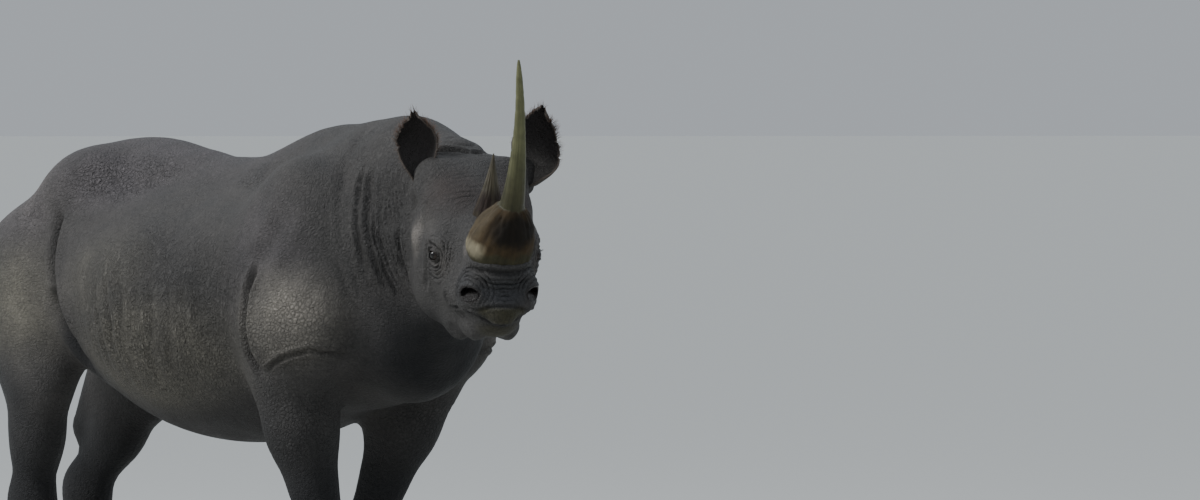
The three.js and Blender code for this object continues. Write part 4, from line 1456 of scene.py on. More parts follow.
# ---------- finishes
Feed = NodeSocket | float | tuple[float, ...]
Feeds = dict[str | int, Feed]
Colour = tuple[float, float, float]


def feed(socket: NodeSocket, value: Feed) -> None:
    """Links a socket to another, or sets its value."""
    if isinstance(value, NodeSocket):
        socket.id_data.links.new(value, socket)
    else:
        socket.default_value = value


def add_node(tree: NodeTree, kind: str, feeds: Feeds, **settings: str | bool) -> Node:
    """Adds a node to a tree.

    Args:
        tree: A tree of shader or geometry nodes.
        kind: The node's type.
        feeds: A socket or a value for each input, by its name or number.
        settings: The node's own settings.

    Returns:
        The node.
    """
    made = tree.nodes.new(kind)
    for key, value in settings.items():
        setattr(made, key, value)
    for key, value in feeds.items():
        feed(made.inputs[key], value)
    return made


class Recipe:
    """A material being mixed: a node tree, with short ways to add to it."""

    def __init__(self, name: str) -> None:
        """Starts an empty recipe."""
        self.material = bpy.data.materials.new(name)
        self.material.use_nodes = True
        tree = self.material.node_tree
        self.shader = tree.nodes["Principled BSDF"]
        self.node = partial(add_node, tree)
        self.spot = self.node("ShaderNodeTexCoord", {}).outputs["Object"]

    def mask(self, name: str) -> NodeSocket:
        """A mask painted at the vertices."""
        return self.node("ShaderNodeAttribute", {}, attribute_name=name).outputs["Fac"]

    def calc(self, operation: str, a: Feed, b: Feed = 0.0) -> NodeSocket:
        """One step of arithmetic."""
        return self.node("ShaderNodeMath", {0: a, 1: b}, operation=operation).outputs[0]

    def plus(self, a: Feed, b: Feed) -> NodeSocket:
        """The sum of two values."""
        return self.calc("ADD", a, b)

    def times(self, a: Feed, b: Feed) -> NodeSocket:
        """The product of two values."""
        return self.calc("MULTIPLY", a, b)

    def range(
        self, value: Feed, low: float, high: float, start: float = 0.0, end: float = 1.0
    ) -> NodeSocket:
        """Eases a value from start, at low, to end, at high."""
        feeds = {"Value": value, "From Min": low, "From Max": high, "To Min": start, "To Max": end}
        made = self.node("ShaderNodeMapRange", feeds, interpolation_type="SMOOTHSTEP")
        return made.outputs["Result"]

    def noise(
        self, size: float, detail: float = 2.0, rough: float = 0.55, spot: Feed | None = None
    ) -> NodeSocket:
        """Cloudy noise, 0 to 1, with lumps of a size in mm."""
        feeds: Feeds = {"Vector": spot or self.spot, "Scale": 1000.0 / size}
        feeds |= {"Detail": detail, "Roughness": rough}
        return self.node("ShaderNodeTexNoise", feeds).outputs["Fac"]

    def vectors(self, operation: str, a: Feed, b: Feed) -> NodeSocket:
        """One step of arithmetic on rows of three."""
        return self.node("ShaderNodeVectorMath", {0: a, 1: b}, operation=operation).outputs[0]

    def warped(self, size: float, amount: float) -> NodeSocket:
        """The place on the piece, pushed about by noise, both in mm."""
        feeds: Feeds = {"Vector": self.spot, "Scale": 1000.0 / size, "Detail": 2.0}
        push = self.node("ShaderNodeTexNoise", feeds).outputs["Color"]
        push = self.vectors("MULTIPLY", push, (amount / 1000.0,) * 3)
        return self.vectors("ADD", self.spot, push)

    def cells(self, size: float, spot: Feed) -> NodeSocket:
        """How far each place is from the cracks between cells of a size in mm: 0 in a crack."""
        feeds: Feeds = {"Vector": spot, "Scale": 1000.0 / size}
        made = self.node("ShaderNodeTexVoronoi", feeds, feature="DISTANCE_TO_EDGE")
        return made.outputs["Distance"]

    def blend(self, share: Feed, a: Feed, b: Feed, way: str = "MIX") -> NodeSocket:
        """Mixes two colours."""
        a, b = (v if isinstance(v, NodeSocket) else (*v, 1.0) for v in (a, b))
        feeds: Feeds = {0: share, 6: a, 7: b}
        return self.node("ShaderNodeMix", feeds, data_type="RGBA", blend_type=way).outputs[2]

    def shaded(self, colour: Feed, shade: Feed) -> NodeSocket:
        """A colour times a shade."""
        tone = self.node("ShaderNodeCombineColor", {0: shade, 1: shade, 2: shade}).outputs[0]
        return self.blend(1.0, colour, tone, "MULTIPLY")

    def bump(self, height: Feed, depth: float, under: Feed | None = None) -> NodeSocket:
        """Turns a height into a slope; depth is in mm."""
        feeds: Feeds = {"Height": height, "Distance": depth / 1000.0, "Strength": 1.0}
        if under is not None:
            feeds["Normal"] = under
        return self.node("ShaderNodeBump", feeds).outputs["Normal"]

    def done(self, colour: Feed, rough: Feed, normal: Feed | None, **own: float) -> Material:
        """Feeds the shader.

        Args:
            colour: The base colour.
            rough: The roughness.
            normal: The bumped normal, or None for a plain one.
            own: Values that are the same all over, by socket name with _ for a space.

        Returns:
            The material.
        """
        feeds = {"Base Color": colour, "Roughness": rough, **own}
        if normal is not None:
            feeds["Normal"] = normal
        for key, value in feeds.items():
            feed(self.shader.inputs[key.replace("_", " ")], value)
        return self.material


# the top tint is painted light, and the tint for low and hollow parts is painted shade mixed with
# mud
TINT_SHARES = {
    "top": 0.9, "dust": 0.85, "blue": 0.75, "warm": 0.8, "olive": 0.9, "dark": 0.95, "pale": 0.9,
}  # how much of each tint shows where its mask is full


@dataclass(frozen=True)
class HideFinish:
    """Bare, dry, wrinkled skin with mud and dust in it, painted shade in its creases, hollows and
    low parts and painted light on its top.
    """

    flank: Colour = (0.046, 0.043, 0.041)
    side: Colour = (0.044, 0.042, 0.040)
    # painted light: the lighter colour of the lit top of the body
    top: Colour = (0.066, 0.060, 0.062)
    # the colour of painted shade on low and hollow parts, and of mud on the legs
    dark: Colour = (0.0068, 0.0074, 0.0085)
    dust: Colour = (0.118, 0.110, 0.090)
    warm: Colour = (0.032, 0.023, 0.020)
    # pale also carries painted light on the left ear's lower inside
    pale: Colour = (0.330, 0.295, 0.260)
    olive: Colour = (0.036, 0.033, 0.016)
    blue: Colour = (0.030, 0.031, 0.035)
    # painted shade inside the ears' cups
    cup: Colour = (0.034, 0.030, 0.029)
    rim: Colour = (0.105, 0.082, 0.066)
    scale: float = 12.0
    plate: float = 15.0

    def mix(self) -> Material:
        """The material."""
        r = Recipe("rhino hide")
        spot = r.warped(40.0, 9.0)
        small = r.cells(self.scale, spot)
        tiny = r.cells(self.scale * 0.42, r.warped(12.0, 3.0))
        plate = r.cells(self.plate, r.warped(26.0, 26.0))
        squeezed = r.vectors("MULTIPLY", r.warped(60.0, 18.0), (1.0, 1.0, 0.26))
        thread = r.noise(15.0, 4.0, 0.6, squeezed)
        thread = r.range(r.calc("ABSOLUTE", r.calc("SUBTRACT", thread, 0.5)), 0.0, 0.14)
        colour = r.blend(r.range(r.noise(420.0, 3.0), 0.35, 0.65), self.side, self.flank)
        # the tints include painted light on the top and painted shade on low and hollow parts
        for key, share in TINT_SHARES.items():
            colour = r.blend(r.times(r.mask(key), share), colour, getattr(self, key))
        mottle = r.range(r.noise(90.0, 6.0, 0.68), 0.3, 0.7, 0.78, 1.22)
        fleck = r.range(r.noise(9.0, 3.0, 0.6), 0.25, 0.75, 0.8, 1.2)
        crack = r.times(r.range(small, 0.0, 0.14, -0.28, 0.04), r.plus(r.mask("pebble"), 0.45))
        rib = r.times(r.calc("SUBTRACT", thread, 1.0), r.times(r.mask("rib"), 0.35))
        crack = r.times(r.plus(crack, 1.0), r.plus(rib, 1.0))
        shade = r.times(r.times(mottle, fleck), crack)
        plates = r.range(plate, 0.0, 0.12, 0.74, 1.16)
        rough = r.mask("rough")
        plates = r.node("ShaderNodeMix", {0: rough, 2: 1.0, 3: plates}).outputs[0]
        shade = r.times(shade, plates)
        # painted shade in the creases, the folds' valleys and under the horn's pad
        shade = r.times(shade, r.range(r.mask("groove"), 0.0, 1.0, 1.0, 0.16))
        colour = r.shaded(colour, shade)
        colour = r.blend(r.mask("rim"), colour, self.rim)
        # painted shade inside the ears
        colour = r.blend(r.mask("cup"), colour, self.cup)
        wet = r.mask("wet")
        # darker near the eyes and nostrils: wet skin, and painted shade inside the nostrils and
        # under the lids
        colour = r.blend(r.times(wet, 0.8), colour, (0.016, 0.013, 0.012))
        low = r.bump(r.noise(34.0, 6.0, 0.68), 5.0)
        low = r.bump(r.times(thread, r.mask("rib")), 5.0, low)
        low = r.bump(r.times(r.range(plate, 0.0, 0.25), rough), 4.0, low)
        grain = r.plus(r.times(r.mask("pebble"), 0.6), 0.34)
        low = r.bump(r.times(r.range(small, 0.0, 0.3), grain), 4.0, low)
        low = r.bump(r.range(tiny, 0.0, 0.3), 1.1, low)
        normal = r.bump(r.noise(2.2, 2.0), 0.25, low)
        gloss = r.range(r.noise(90.0, 3.0), 0.3, 0.7, 0.58, 0.78)
        gloss = r.calc("SUBTRACT", gloss, r.times(wet, 0.32))
        return r.done(colour, gloss, normal, Specular_IOR_Level=0.22)


@dataclass(frozen=True)
class HornFinish:
    """Horn: brown fibres at the foot, a smooth grey-olive spike and a darker tip."""

    spike: Colour = (0.036, 0.034, 0.016)
    tip: Colour = (0.105, 0.106, 0.052)
    pad: Colour = (0.040, 0.027, 0.013)
    front: Colour = (0.0085, 0.0065, 0.0045)
    cream: Colour = (0.230, 0.205, 0.140)
    rim: Colour = (0.034, 0.031, 0.017)

    def mix(self, name: str) -> Material:
        """The material, with the horn's own masks."""
        r = Recipe(name)
        along = r.node("ShaderNodeAttribute", {}, attribute_name="fibre").outputs["Vector"]
        fibre = r.noise(1000.0, 6.0, 0.7, along)
        broad = r.noise(2600.0, 3.0, 0.6, along)
        colour = r.blend(r.mask("tip"), self.spike, self.tip)
        colour = r.blend(r.mask("pad"), colour, self.pad)
        colour = r.blend(r.mask("rim"), colour, self.rim)
        colour = r.blend(r.mask("front"), colour, self.front)
        colour = r.blend(r.mask("cream"), colour, self.cream)
        shade = r.times(r.range(fibre, 0.3, 0.7, 0.82, 1.18), r.range(broad, 0.3, 0.7, 0.9, 1.1))
        patch = r.range(r.noise(34.0, 4.0), 0.3, 0.7, 0.82, 1.18)
        shade = r.times(shade, patch)
        colour = r.shaded(colour, shade)
        pad = r.mask("pad")
        deep = r.times(fibre, r.range(pad, 0.0, 1.0, 0.25, 1.0))
        normal = r.bump(r.noise(1.6, 2.0), 0.1, r.bump(deep, 2.0))
        gloss = r.plus(r.range(fibre, 0.3, 0.7, 0.36, 0.5), r.times(pad, 0.45))
        return r.done(colour, gloss, normal, Specular_IOR_Level=0.2)


@dataclass(frozen=True)
class EyeFinish:
    """A wet, dark eye."""

    white: Colour = (0.035, 0.026, 0.022)
    iris: Colour = (0.016, 0.009, 0.006)
    pupil: Colour = (0.004, 0.003, 0.003)

    def mix(self) -> Material:
        """The material; the mask out is 1 in the middle of the cornea."""
        r = Recipe("wet eye")
        out = r.mask("out")
        colour = r.blend(r.range(out, 0.62, 0.70), self.white, self.iris)
        streak = r.range(r.noise(2.4, 4.0), 0.3, 0.7, 0.6, 1.5)
        colour = r.shaded(colour, streak)
        colour = r.blend(r.range(out, 0.88, 0.90), colour, self.pupil)
        gloss = r.range(out, 0.6, 0.9, 0.3, 0.12)
        return r.done(colour, gloss, r.bump(r.noise(3.0), 0.05), Specular_IOR_Level=0.35)


@dataclass(frozen=True)
class NailFinish:
    """Worn, dull nail with fine ridges across it and mud at its edge."""

    nail: Colour = (0.085, 0.076, 0.060)
    worn: Colour = (0.160, 0.142, 0.110)

    def mix(self) -> Material:
        """The material; the mask up runs from the sole to the quick."""
        r = Recipe("toe nail")
        up = r.mask("up")
        ridge = r.noise(5.0, 4.0, 0.6, r.vectors("MULTIPLY", r.spot, (0.3, 0.3, 2.2)))
        high = r.plus(up, r.range(r.noise(22.0, 3.0), 0.3, 0.7, -0.2, 0.2))
        colour = r.blend(r.range(high, 0.1, 0.75), self.worn, self.nail)
        shade = r.range(ridge, 0.3, 0.7, 0.7, 1.25)
        colour = r.shaded(colour, shade)
        gloss = r.range(ridge, 0.3, 0.7, 0.5, 0.68)
        return r.done(colour, gloss, r.bump(ridge, 1.2), Specular_IOR_Level=0.4)


@dataclass(frozen=True)
class HairFinish:
    """Stiff hair, one shade at the root and another at the tip."""

    root: Colour = (0.020, 0.016, 0.013)
    tip: Colour = (0.045, 0.034, 0.026)

    def mix(self, name: str) -> Material:
        """The material; the mask along runs from root to tip."""
        r = Recipe(name)
        colour = r.blend(r.range(r.mask("along"), 0.1, 0.9), self.root, self.tip)
        shade = r.range(r.noise(9.0, 3.0), 0.3, 0.7, 0.6, 1.4)
        colour = r.shaded(colour, shade)
        return r.done(colour, 0.5, r.bump(r.noise(1.5), 0.05), Specular_IOR_Level=0.5)


# ---------- skin
MOST_TRIANGLES = 200_000
FLESH_NODES = ["head", "lower_jaw", "neck", "trunk", "tail", "right_ear", "left_ear"] + [
    f"{leg}_{part}" for leg in LEGS for part in ("upper_leg", "lower_leg", "foot")
]


@dataclass
class Skin:
    """The whole skin, ears and all, in one piece.

    Attributes:
        shape: How its mesh is made.
        finish: Its material.
        leg_dark: The height from which the legs and low parts darken downwards, and over how much:
            mud on the legs and painted shade.
    """

    shape: SkinShape = field(default_factory=SkinShape)
    finish: HideFinish = field(default_factory=HideFinish)
    leg_dark: tuple[float, float] = (860.0, 330.0)

    def build(self) -> None:
        """Makes, dresses and hands over the skin."""
        net, clay = self.shape.build()
        self._shade_low_parts(clay)
        parts = [(net, clay.masks), *(ear.build() for ear in EARS)]
        masks = {}
        for key in sorted(set().union(*(painted for _, painted in parts))):
            layers = [painted.get(key, np.zeros(len(part.points))) for part, painted in parts]
            masks[key] = np.concatenate(layers)
        whole = Net.together([part for part, _ in parts])
        LOG.info("skin: %d triangles, at most %d", len(whole.faces), MOST_TRIANGLES)
        skin = mesh_object("skin", whole, masks)
        hand_over(skin, self.finish.mix(), "hide", *FLESH_NODES)

    def _shade_low_parts(self, clay: Clay) -> None:
        """Darkens the legs, the belly's underside and the throat: mud on the legs, and painted
        shade on the low parts, darker towards the floor.
        """
        high, over = self.leg_dark
        edge = 60.0 * noise(clay.body, 140.0, 61)
        # painted shade with mud on the legs: darker towards the floor
        clay.paint("dark", 0.9 * smooth((high + edge - clay.body[:, 2]) / over))


# ---------- horns
def through(points: tuple[Vec, ...], t: Array) -> tuple[Array, Array]:
    """A smooth curve through points.

    Args:
        points: Points along it.
        t: 0 at the first, 1 at the last.

    Returns:
        Places on the curve, and its direction there.
    """
    p = np.array(points)
    p = np.concatenate([2 * p[:1] - p[1:2], p, 2 * p[-1:] - p[-2:-1]])
    x = np.clip(t, 0.0, 1.0) * (len(points) - 1)
    i = np.minimum(x.astype(int), len(points) - 2)
    f = (x - i)[:, None]
    a, b, c, d = p[i], p[i + 1], p[i + 2], p[i + 3]
    first, second, third = c - a, 2 * a - 5 * b + 4 * c - d, 3 * b - a - 3 * c + d
    spot = 0.5 * (2 * b + first * f + second * f**2 + third * f**3)
    way = 0.5 * (first + 2 * second * f + 3 * third * f**2)
    return spot, unit(way)


FIBRE_ROUND, FIBRE_LENGTH = 9.0, 5.0  # the drum on which a horn's fibres run straight up


@dataclass
class Horn:
    """A horn lofted along a curve in head coordinates.

    Attributes:
        line: Points along its middle, from deep in the head to the tip.
        sides: Mesh columns round it.
        rings: Mesh rows along it.
    """

    line: tuple[Vec, ...]
    sides: int = 96
    rings: int = 200

    def radii(self, t: Array) -> tuple[Array, Array]:
        """Half the width and half the depth at each place along it."""
        raise NotImplementedError

    def roughen(self, t: Array, angle: Array) -> Array:
        """How far each vertex stands out of the smooth loft."""
        raise NotImplementedError

    def loft(self) -> tuple[Array, Array, Array]:
        """The rings' points in head coordinates, with t and the angle of each."""
        t = np.linspace(0.0, 1.0, self.rings)
        middle, way = through(self.line, t)
        side = unit(np.array([0.0, 1.0, 0.0]) - way * way[:, 1:2])
        front = np.cross(side, way)
        tt, aa = loft_grid(t, self.sides)
        wide, deep = self.radii(t)
        out = self.roughen(tt, aa)
        x = (wide[:, None] + out) * np.cos(aa)
        y = (deep[:, None] + out) * np.sin(aa)
        points = middle[:, None] + side[:, None] * x[..., None] + front[:, None] * y[..., None]
        return points, tt, aa

    def masks(self, t: Array, angle: Array, points: Array) -> dict[str, Array]:
        """The named masks at the vertices."""
        raise NotImplementedError

    def build(self, name: str, finish: HornFinish) -> None:
        """Makes, dresses and hands over the horn, which replaces the node of the same name."""
        points, t, angle = self.loft()
        painted = self.masks(t, angle, points).items()
        masks = {key: np.append(v.ravel(), [v[0].mean(), v[-1].mean()]) for key, v in painted}
        obj = mesh_object(f"{name}_keratin", shell_net(place(HEAD_TURN, points)), masks)
        ends = [(0.0, 0.0, 0.0), (0.0, 0.0, FIBRE_LENGTH)]
        fibre = np.concatenate([drum(angle, FIBRE_ROUND, t * FIBRE_LENGTH).reshape(-1, 3), ends])
        set_layer(obj.data, "fibre", fibre)
        hand_over(obj, finish.mix(name.replace("_", " ")), "horn", name)


@dataclass
class FrontHorn(Horn):
    """The long front horn, on its broad fibrous pad.

    Attributes:
        pad_end: Where the pad gives way to the spike, along the horn.
        pad_half: Half the pad's width and half its depth, in mm.
        fibre: How deep the furrows between the pad's fibres are, in mm.
    """

    line: tuple[Vec, ...] = (
        (424, -12, -158), (449, 8, -62), (469, 22, 40),
        (478, 26, 170), (459, 26, 310), (414, 22, 440),
    )
    rings: int = 260
    pad_end: float = 0.385
    pad_half: tuple[float, float] = (93.0, 92.0)
    fibre: float = 2.6

    def radii(self, t: Array) -> tuple[Array, Array]:
        """A flared pad under a slim, nearly straight spike."""
        foot = 1.0 - np.clip((t - 0.02) / (self.pad_end - 0.02), 0.0, 1.0) ** 3
        left = 1.0 - np.clip((t - self.pad_end) / (1.0 - self.pad_end), 0.0, 1.0)
        under = np.sqrt(1.0 - (1.0 - np.clip((t + 0.012) / 0.112, 0.0, 1.0)) ** 2)
        spike = (8.0 + 27.0 * left**1.5) * np.sqrt(1.0 - np.clip((t - 0.9) / 0.105, 0.0, 1.0) ** 2)
        wide, deep = self.pad_half
        return mix(spike, wide * under, foot), mix(spike * 1.1, deep * under, foot)

    def edge(self, angle: Array) -> Array:
        """The ragged upper edge of the pad, along the horn, at each angle."""
        key = drum(angle, 30.0, 0.0)
        return self.pad_end + noise(key, 16.0, 71) * 0.008 + noise(key, 5.0, 72) * 0.004

    def roughen(self, t: Array, angle: Array) -> Array:
        """Fibres and a ragged step on the pad, faint growth rings on the spike."""
        on_pad = smooth((self.edge(angle) - t) / 0.012)
        key = drum(angle, 86.0, t * 230.0)
        strands = noise(key, 5.0, 73) * 0.6 + noise(key, 11.0, 74)
        clumps = noise(key * np.array([1.0, 1.0, 0.5]), 30.0, 75)
        out = on_pad * (3.0 + self.fibre * strands + 2.4 * clumps)
        out *= mix(0.3, 1.0, smooth((t - 0.08) / 0.12))
        rings = noise(np.roll(drum(angle, 2.0, t * 620.0), 1, axis=-1), 9.0, 76)
        flutes = noise(key * np.array([1.0, 1.0, 0.2]), 14.0, 77)
        out += (1.0 - on_pad) * (0.5 * rings + 0.7 * flutes) * smooth((1.0 - t) / 0.1)
        return out * smooth((1.0 - t) / 0.02)

    def masks(self, t: Array, angle: Array, points: Array) -> dict[str, Array]:
        """Pad, dark front, cream patches, olive rim and tip."""
        stray = 10.0 * noise(points, 26.0, 81) + 5.0 * noise(points, 9.0, 82)
        ahead, side, up = (points[..., i] for i in range(3))
        pad = smooth((self.edge(angle) - t) / 0.01)
        rim = smooth((-86.0 + stray - up) / 20.0)
        away = np.hypot((side - 30.0 + 0.9 * stray) / 104.0, (up + 28.0 + 0.9 * stray) / 66.0)
        front = smooth((1.0 - away) / 0.6) * smooth((ahead - 405.0) / 50.0)
        away = np.hypot((side + 80.0 + 0.6 * stray) / 30.0, (up + 92.0 + stray) / 34.0)
        ridge = 0.12 * smooth((-0.85 - np.cos(angle)) / 0.12) * smooth((up + 80.0 + stray) / 30.0)
        cream = np.maximum(0.8 * smooth((1.0 - away) / 0.9), ridge)
        on_pad = {"rim": rim * pad, "front": front * pad, "cream": cream * pad}
        return {"pad": pad, **on_pad, "tip": smooth((t - 0.4) / 0.35)}


@dataclass
class RearHorn(Horn):
    """The short rear horn, a broad rough cone.

    Attributes:
        foot: Half its width and half its depth at the foot, in mm.
        tip: The tip's radius.
    """

    line: tuple[Vec, ...] = ((290, -4, -140), (284, -4, -62), (274, 0, 12), (252, 6, 106))
    rings: int = 150
    sides: int = 80
    foot: tuple[float, float] = (64.0, 66.0)
    tip: float = 1.5

    def radii(self, t: Array) -> tuple[Array, Array]:
        """Broad at the foot, to a blunt tip."""
        share = (1.0 - t) ** 1.05
        return self.foot[0] * share + self.tip, self.foot[1] * share + self.tip

    def roughen(self, t: Array, angle: Array) -> Array:
        """Fibres low down, and two blunt ridges up the front."""
        key = drum(angle, 60.0, t * 50.0)
        strands = noise(key, 5.0, 91) * 0.6 + noise(key, 12.0, 92)
        ridges = np.cos(angle * 4.0 + 0.6) * 1.2
        return (1.9 * strands + ridges) * smooth((1.0 - t) / 0.35)

    def masks(self, t: Array, angle: Array, points: Array) -> dict[str, Array]:
        """Brown pad below, olive above, and paler ridges."""
        up = points[..., 2] + 9.0 * noise(points, 20.0, 95)
        cream = 0.1 * smooth((np.cos(angle * 4.0 + 0.6) - 0.6) / 0.4)
        cream *= smooth((70.0 - np.abs(up - 10.0)) / 40.0)
        rim = 0.35 * smooth((-40.0 - up) / 20.0)
        none = np.zeros_like(up)
        pad = smooth((26.0 - up) / 40.0)
        return {"pad": pad, "rim": rim, "front": none, "cream": cream, "tip": none}


# ---------- eyes and nails
@dataclass(frozen=True)
class Eyeball:
    """An eye: a whole ball with a raised cornea.

    Attributes:
        side: Right or left.
        radius: The ball's radius.
        bulge: How far the cornea stands out of the ball.
        rows: Mesh rows from the back to the cornea.
        columns: Mesh columns round it.
    """

    side: Side
    radius: float = EYE_RADIUS
    bulge: float = 1.4
    rows: int = 56
    columns: int = 64

    def build(self, material: Material) -> None:
        """Makes, dresses and hands over the eye."""
        middle, way = EYE_HOLE.axes(self.side)
        pp, rr = loft_grid(np.linspace(0.02, math.pi - 0.02, self.rows)[::-1], self.columns)
        r = (self.radius + self.bulge * smooth((0.62 - pp) / 0.4))[..., None]
        own = r * np.stack([np.sin(pp) * np.cos(rr), np.sin(pp) * np.sin(rr), np.cos(pp)], axis=-1)
        name = f"{self.side.name.lower()}_eye"
        net = shell_net(place(HEAD_TURN, own @ way + middle))
        out = np.append(np.cos(pp).ravel(), [-1.0, 1.0])
        obj = mesh_object(f"{name}ball", net, {"out": out})
        hand_over(obj, material, "eye", name)


@dataclass(frozen=True)
class Nails:
    """The three nails of one foot.

    Attributes:
        name: The leg's name.
        sides: Mesh columns round a nail.
        rings: Mesh rows up it.
    """

    name: str
    sides: int = 40
    rings: int = 22

    def build(self, material: Material) -> None:
        """Makes, dresses and hands over the nails."""
        net = Net.together([self._nail(toe) for toe in (-1, 0, 1)])
        up = smooth((net.points[:, 2] - 3.0) / 56.0)
        obj = mesh_object(f"{self.name}_nails", net, {"up": up})
        hand_over(obj, material, "nail", *(f"{self.name}_nail_{i}" for i in (1, 2, 3)))

    def _nail(self, toe: int) -> Net:
        """One nail: a wide, ridged hoof standing against the toe."""
        leg = LEGS[self.name]
        x0, y0 = leg.toe(toe, 112.0 if toe else 118.0)
        width, height = (38.0, 60.0) if toe else (46.0, 68.0)
        tt, aa = loft_grid(np.linspace(0.0, 1.0, self.rings), self.sides)
        edge = smooth(np.minimum(tt, 1.0 - tt) / 0.14) * 0.1 + 0.9
        ridge = 1.0 + 0.018 * np.sin(tt * 34.0 + np.cos(aa) * 2.0) + 0.01 * np.cos(aa * 11.0)
        half = width * np.sqrt(1.0 - (tt * 0.9) ** 2.5) * edge * ridge
        deep = mix(26.0, 20.0, tt) * edge * ridge
        x = -6.0 * tt + deep * np.cos(aa)
        own = np.stack([x, half * np.sin(aa), mix(3.0, height, tt)], axis=-1)
        return shell_net(place(shift(x0, y0, 0.0) @ turn("z", TOE_ANGLE * toe), own))


# ---------- hairs
@dataclass
class Roots:
    """Where hairs grow, one row for each.

    Attributes:
        points: Places in working mm.
        aims: Which way each hair grows.
        lengths: In mm.
        spots: Each root's place on an unwrap of the surface it grows from.
    """

    points: Array
    aims: Array
    lengths: Array
    spots: Array

    @classmethod
    def together(cls, parts: list["Roots"]) -> "Roots":
        """Several sets of roots as one."""
        names = [item.name for item in fields(cls)]
        return cls(*(np.concatenate([getattr(part, name) for part in parts]) for name in names))


FULL_TURN = 6.2832


@dataclass(frozen=True)
class HairGrower:
    """Grows one bent, tapering hair at each root with a node tree.

    Attributes:
        thickness: A hair's radius as a share of its length.
        bend: How far its tip leans over, as a share of its length.
        vary: How much the lengths differ, 0 to 1.
        seed: Picks another pattern.
        sides: Faces round a hair.
        steps: Faces along it.
        patch: How wide a hair's patch of the unwrap is.
    """

    thickness: float
    bend: float
    vary: float = 0.3
    seed: int = 1
    sides: int = 4
    steps: int = 4
    patch: float = 0.003

    SOCKETS: ClassVar[dict[str, str]] = {
        "Geometry": "Geometry", "Thickness": "Float", "Bend": "Float", "Vary": "Float",
        "Seed": "Int", "Sides": "Int", "Steps": "Int", "Finish": "Material",
    }

    def tree(self) -> NodeTree:
        """The node tree, with named inputs."""
        tree = bpy.data.node_groups.new("grow hairs", "GeometryNodeTree")
        for label, kind in self.SOCKETS.items():
            tree.interface.new_socket(label, in_out="INPUT", socket_type=f"NodeSocket{kind}")
        tree.interface.new_socket("Geometry", in_out="OUTPUT", socket_type="NodeSocketGeometry")

        node = partial(add_node, tree)

        def calc(operation: str, a: Feed, b: Feed) -> NodeSocket:
            """One step of arithmetic."""
            return node("ShaderNodeMath", {0: a, 1: b}, operation=operation).outputs[0]

        def keep(geometry: NodeSocket, name: str, value: Feed) -> NodeSocket:
            """Keeps a number at each vertex as an attribute."""
            feeds: Feeds = {"Geometry": geometry, "Name": name, "Value": value}
            made = node("GeometryNodeStoreNamedAttribute", feeds, data_type="FLOAT", domain="POINT")
            return made.outputs[0]

        def named(name: str, kind: str) -> NodeSocket:
            """Reads an attribute of the roots."""
            made = node("GeometryNodeInputNamedAttribute", {"Name": name}, data_type=kind)
            return made.outputs[0]

        given = tree.nodes.new("NodeGroupInput").outputs
        cone = node("GeometryNodeMeshCone", {
            "Vertices": given["Sides"], "Side Segments": given["Steps"],
            "Radius Top": 0.002, "Radius Bottom": given["Thickness"], "Depth": 1.0,
        })
        spot = node("GeometryNodeInputPosition", {}).outputs[0]
        at = node("ShaderNodeSeparateXYZ", {0: spot}).outputs
        hair = keep(cone.outputs["Mesh"], "along", at["Z"])
        hair = keep(hair, "around", calc("ARCTAN2", at["Y"], at["X"]))
        lean = calc("MULTIPLY", calc("POWER", at["Z"], 2.0), given["Bend"])
        push = node("ShaderNodeCombineXYZ", {"X": lean}).outputs[0]
        hair = node("GeometryNodeSetPosition", {"Geometry": hair, "Offset": push}).outputs[0]
        any_turn: Feeds = {1: (FULL_TURN,) * 3, "Seed": given["Seed"]}
        spin = node("FunctionNodeRandomValue", any_turn, data_type="FLOAT_VECTOR").outputs[0]
        upright: Feeds = {0: spin, 1: (0.0, 0.0, 1.0)}
        spin = node("ShaderNodeVectorMath", upright, operation="MULTIPLY").outputs[0]
        turned = node("FunctionNodeAlignRotationToVector", {
            "Rotation": node("FunctionNodeEulerToRotation", {0: spin}).outputs[0],
            "Vector": named("aim", "FLOAT_VECTOR"),
        }, axis="Z").outputs[0]
        limits: Feeds = {2: calc("SUBTRACT", 1.0, given["Vary"]), 3: 1.0, "Seed": given["Seed"]}
        luck = node("FunctionNodeRandomValue", limits, data_type="FLOAT").outputs[1]
        size = calc("MULTIPLY", named("size", "FLOAT"), luck)
        grown = node("GeometryNodeInstanceOnPoints", {
            "Points": given["Geometry"], "Instance": hair, "Rotation": turned,
            "Scale": node("ShaderNodeCombineXYZ", {"X": size, "Y": size, "Z": size}).outputs[0],
        })
        hair = grown.outputs[0]
        for kind in ("GeometryNodeRealizeInstances", "GeometryNodeSetShadeSmooth"):
            hair = node(kind, {"Geometry": hair}).outputs[0]
        dress: Feeds = {"Geometry": hair, "Material": given["Finish"]}
        node("NodeGroupOutput", {0: node("GeometryNodeSetMaterial", dress).outputs[0]})
        return tree

    def grow(self, name: str, roots: Roots, material: Material) -> Object:
        """Grows the hairs as a plain mesh with its bake map.

        Args:
            name: The piece's name.
            roots: Where the hairs grow.
            material: Their finish.

        Returns:
            The piece.
        """
        obj = mesh_object(name, Net(roots.points, np.empty((0, 3), dtype=int)))
        set_layer(obj.data, "aim", roots.aims)
        set_layer(obj.data, "size", roots.lengths / 1000.0)
        set_layer(obj.data, "spot", np.column_stack([roots.spots, np.zeros(len(roots.spots))]))
        modifier = obj.modifiers.new("grow", "NODES")
        modifier.node_group = self.tree()
        for item in modifier.node_group.interface.items_tree:
            if item.in_out == "INPUT" and item.name != "Geometry":
                modifier[item.identifier] = getattr(self, item.name.lower(), material)
        ready = obj.evaluated_get(bpy.context.evaluated_depsgraph_get())
        mesh = bpy.data.meshes.new_from_object(ready)
        obj.modifiers.clear()
        obj.data = mesh
        self._map(mesh)
        return obj

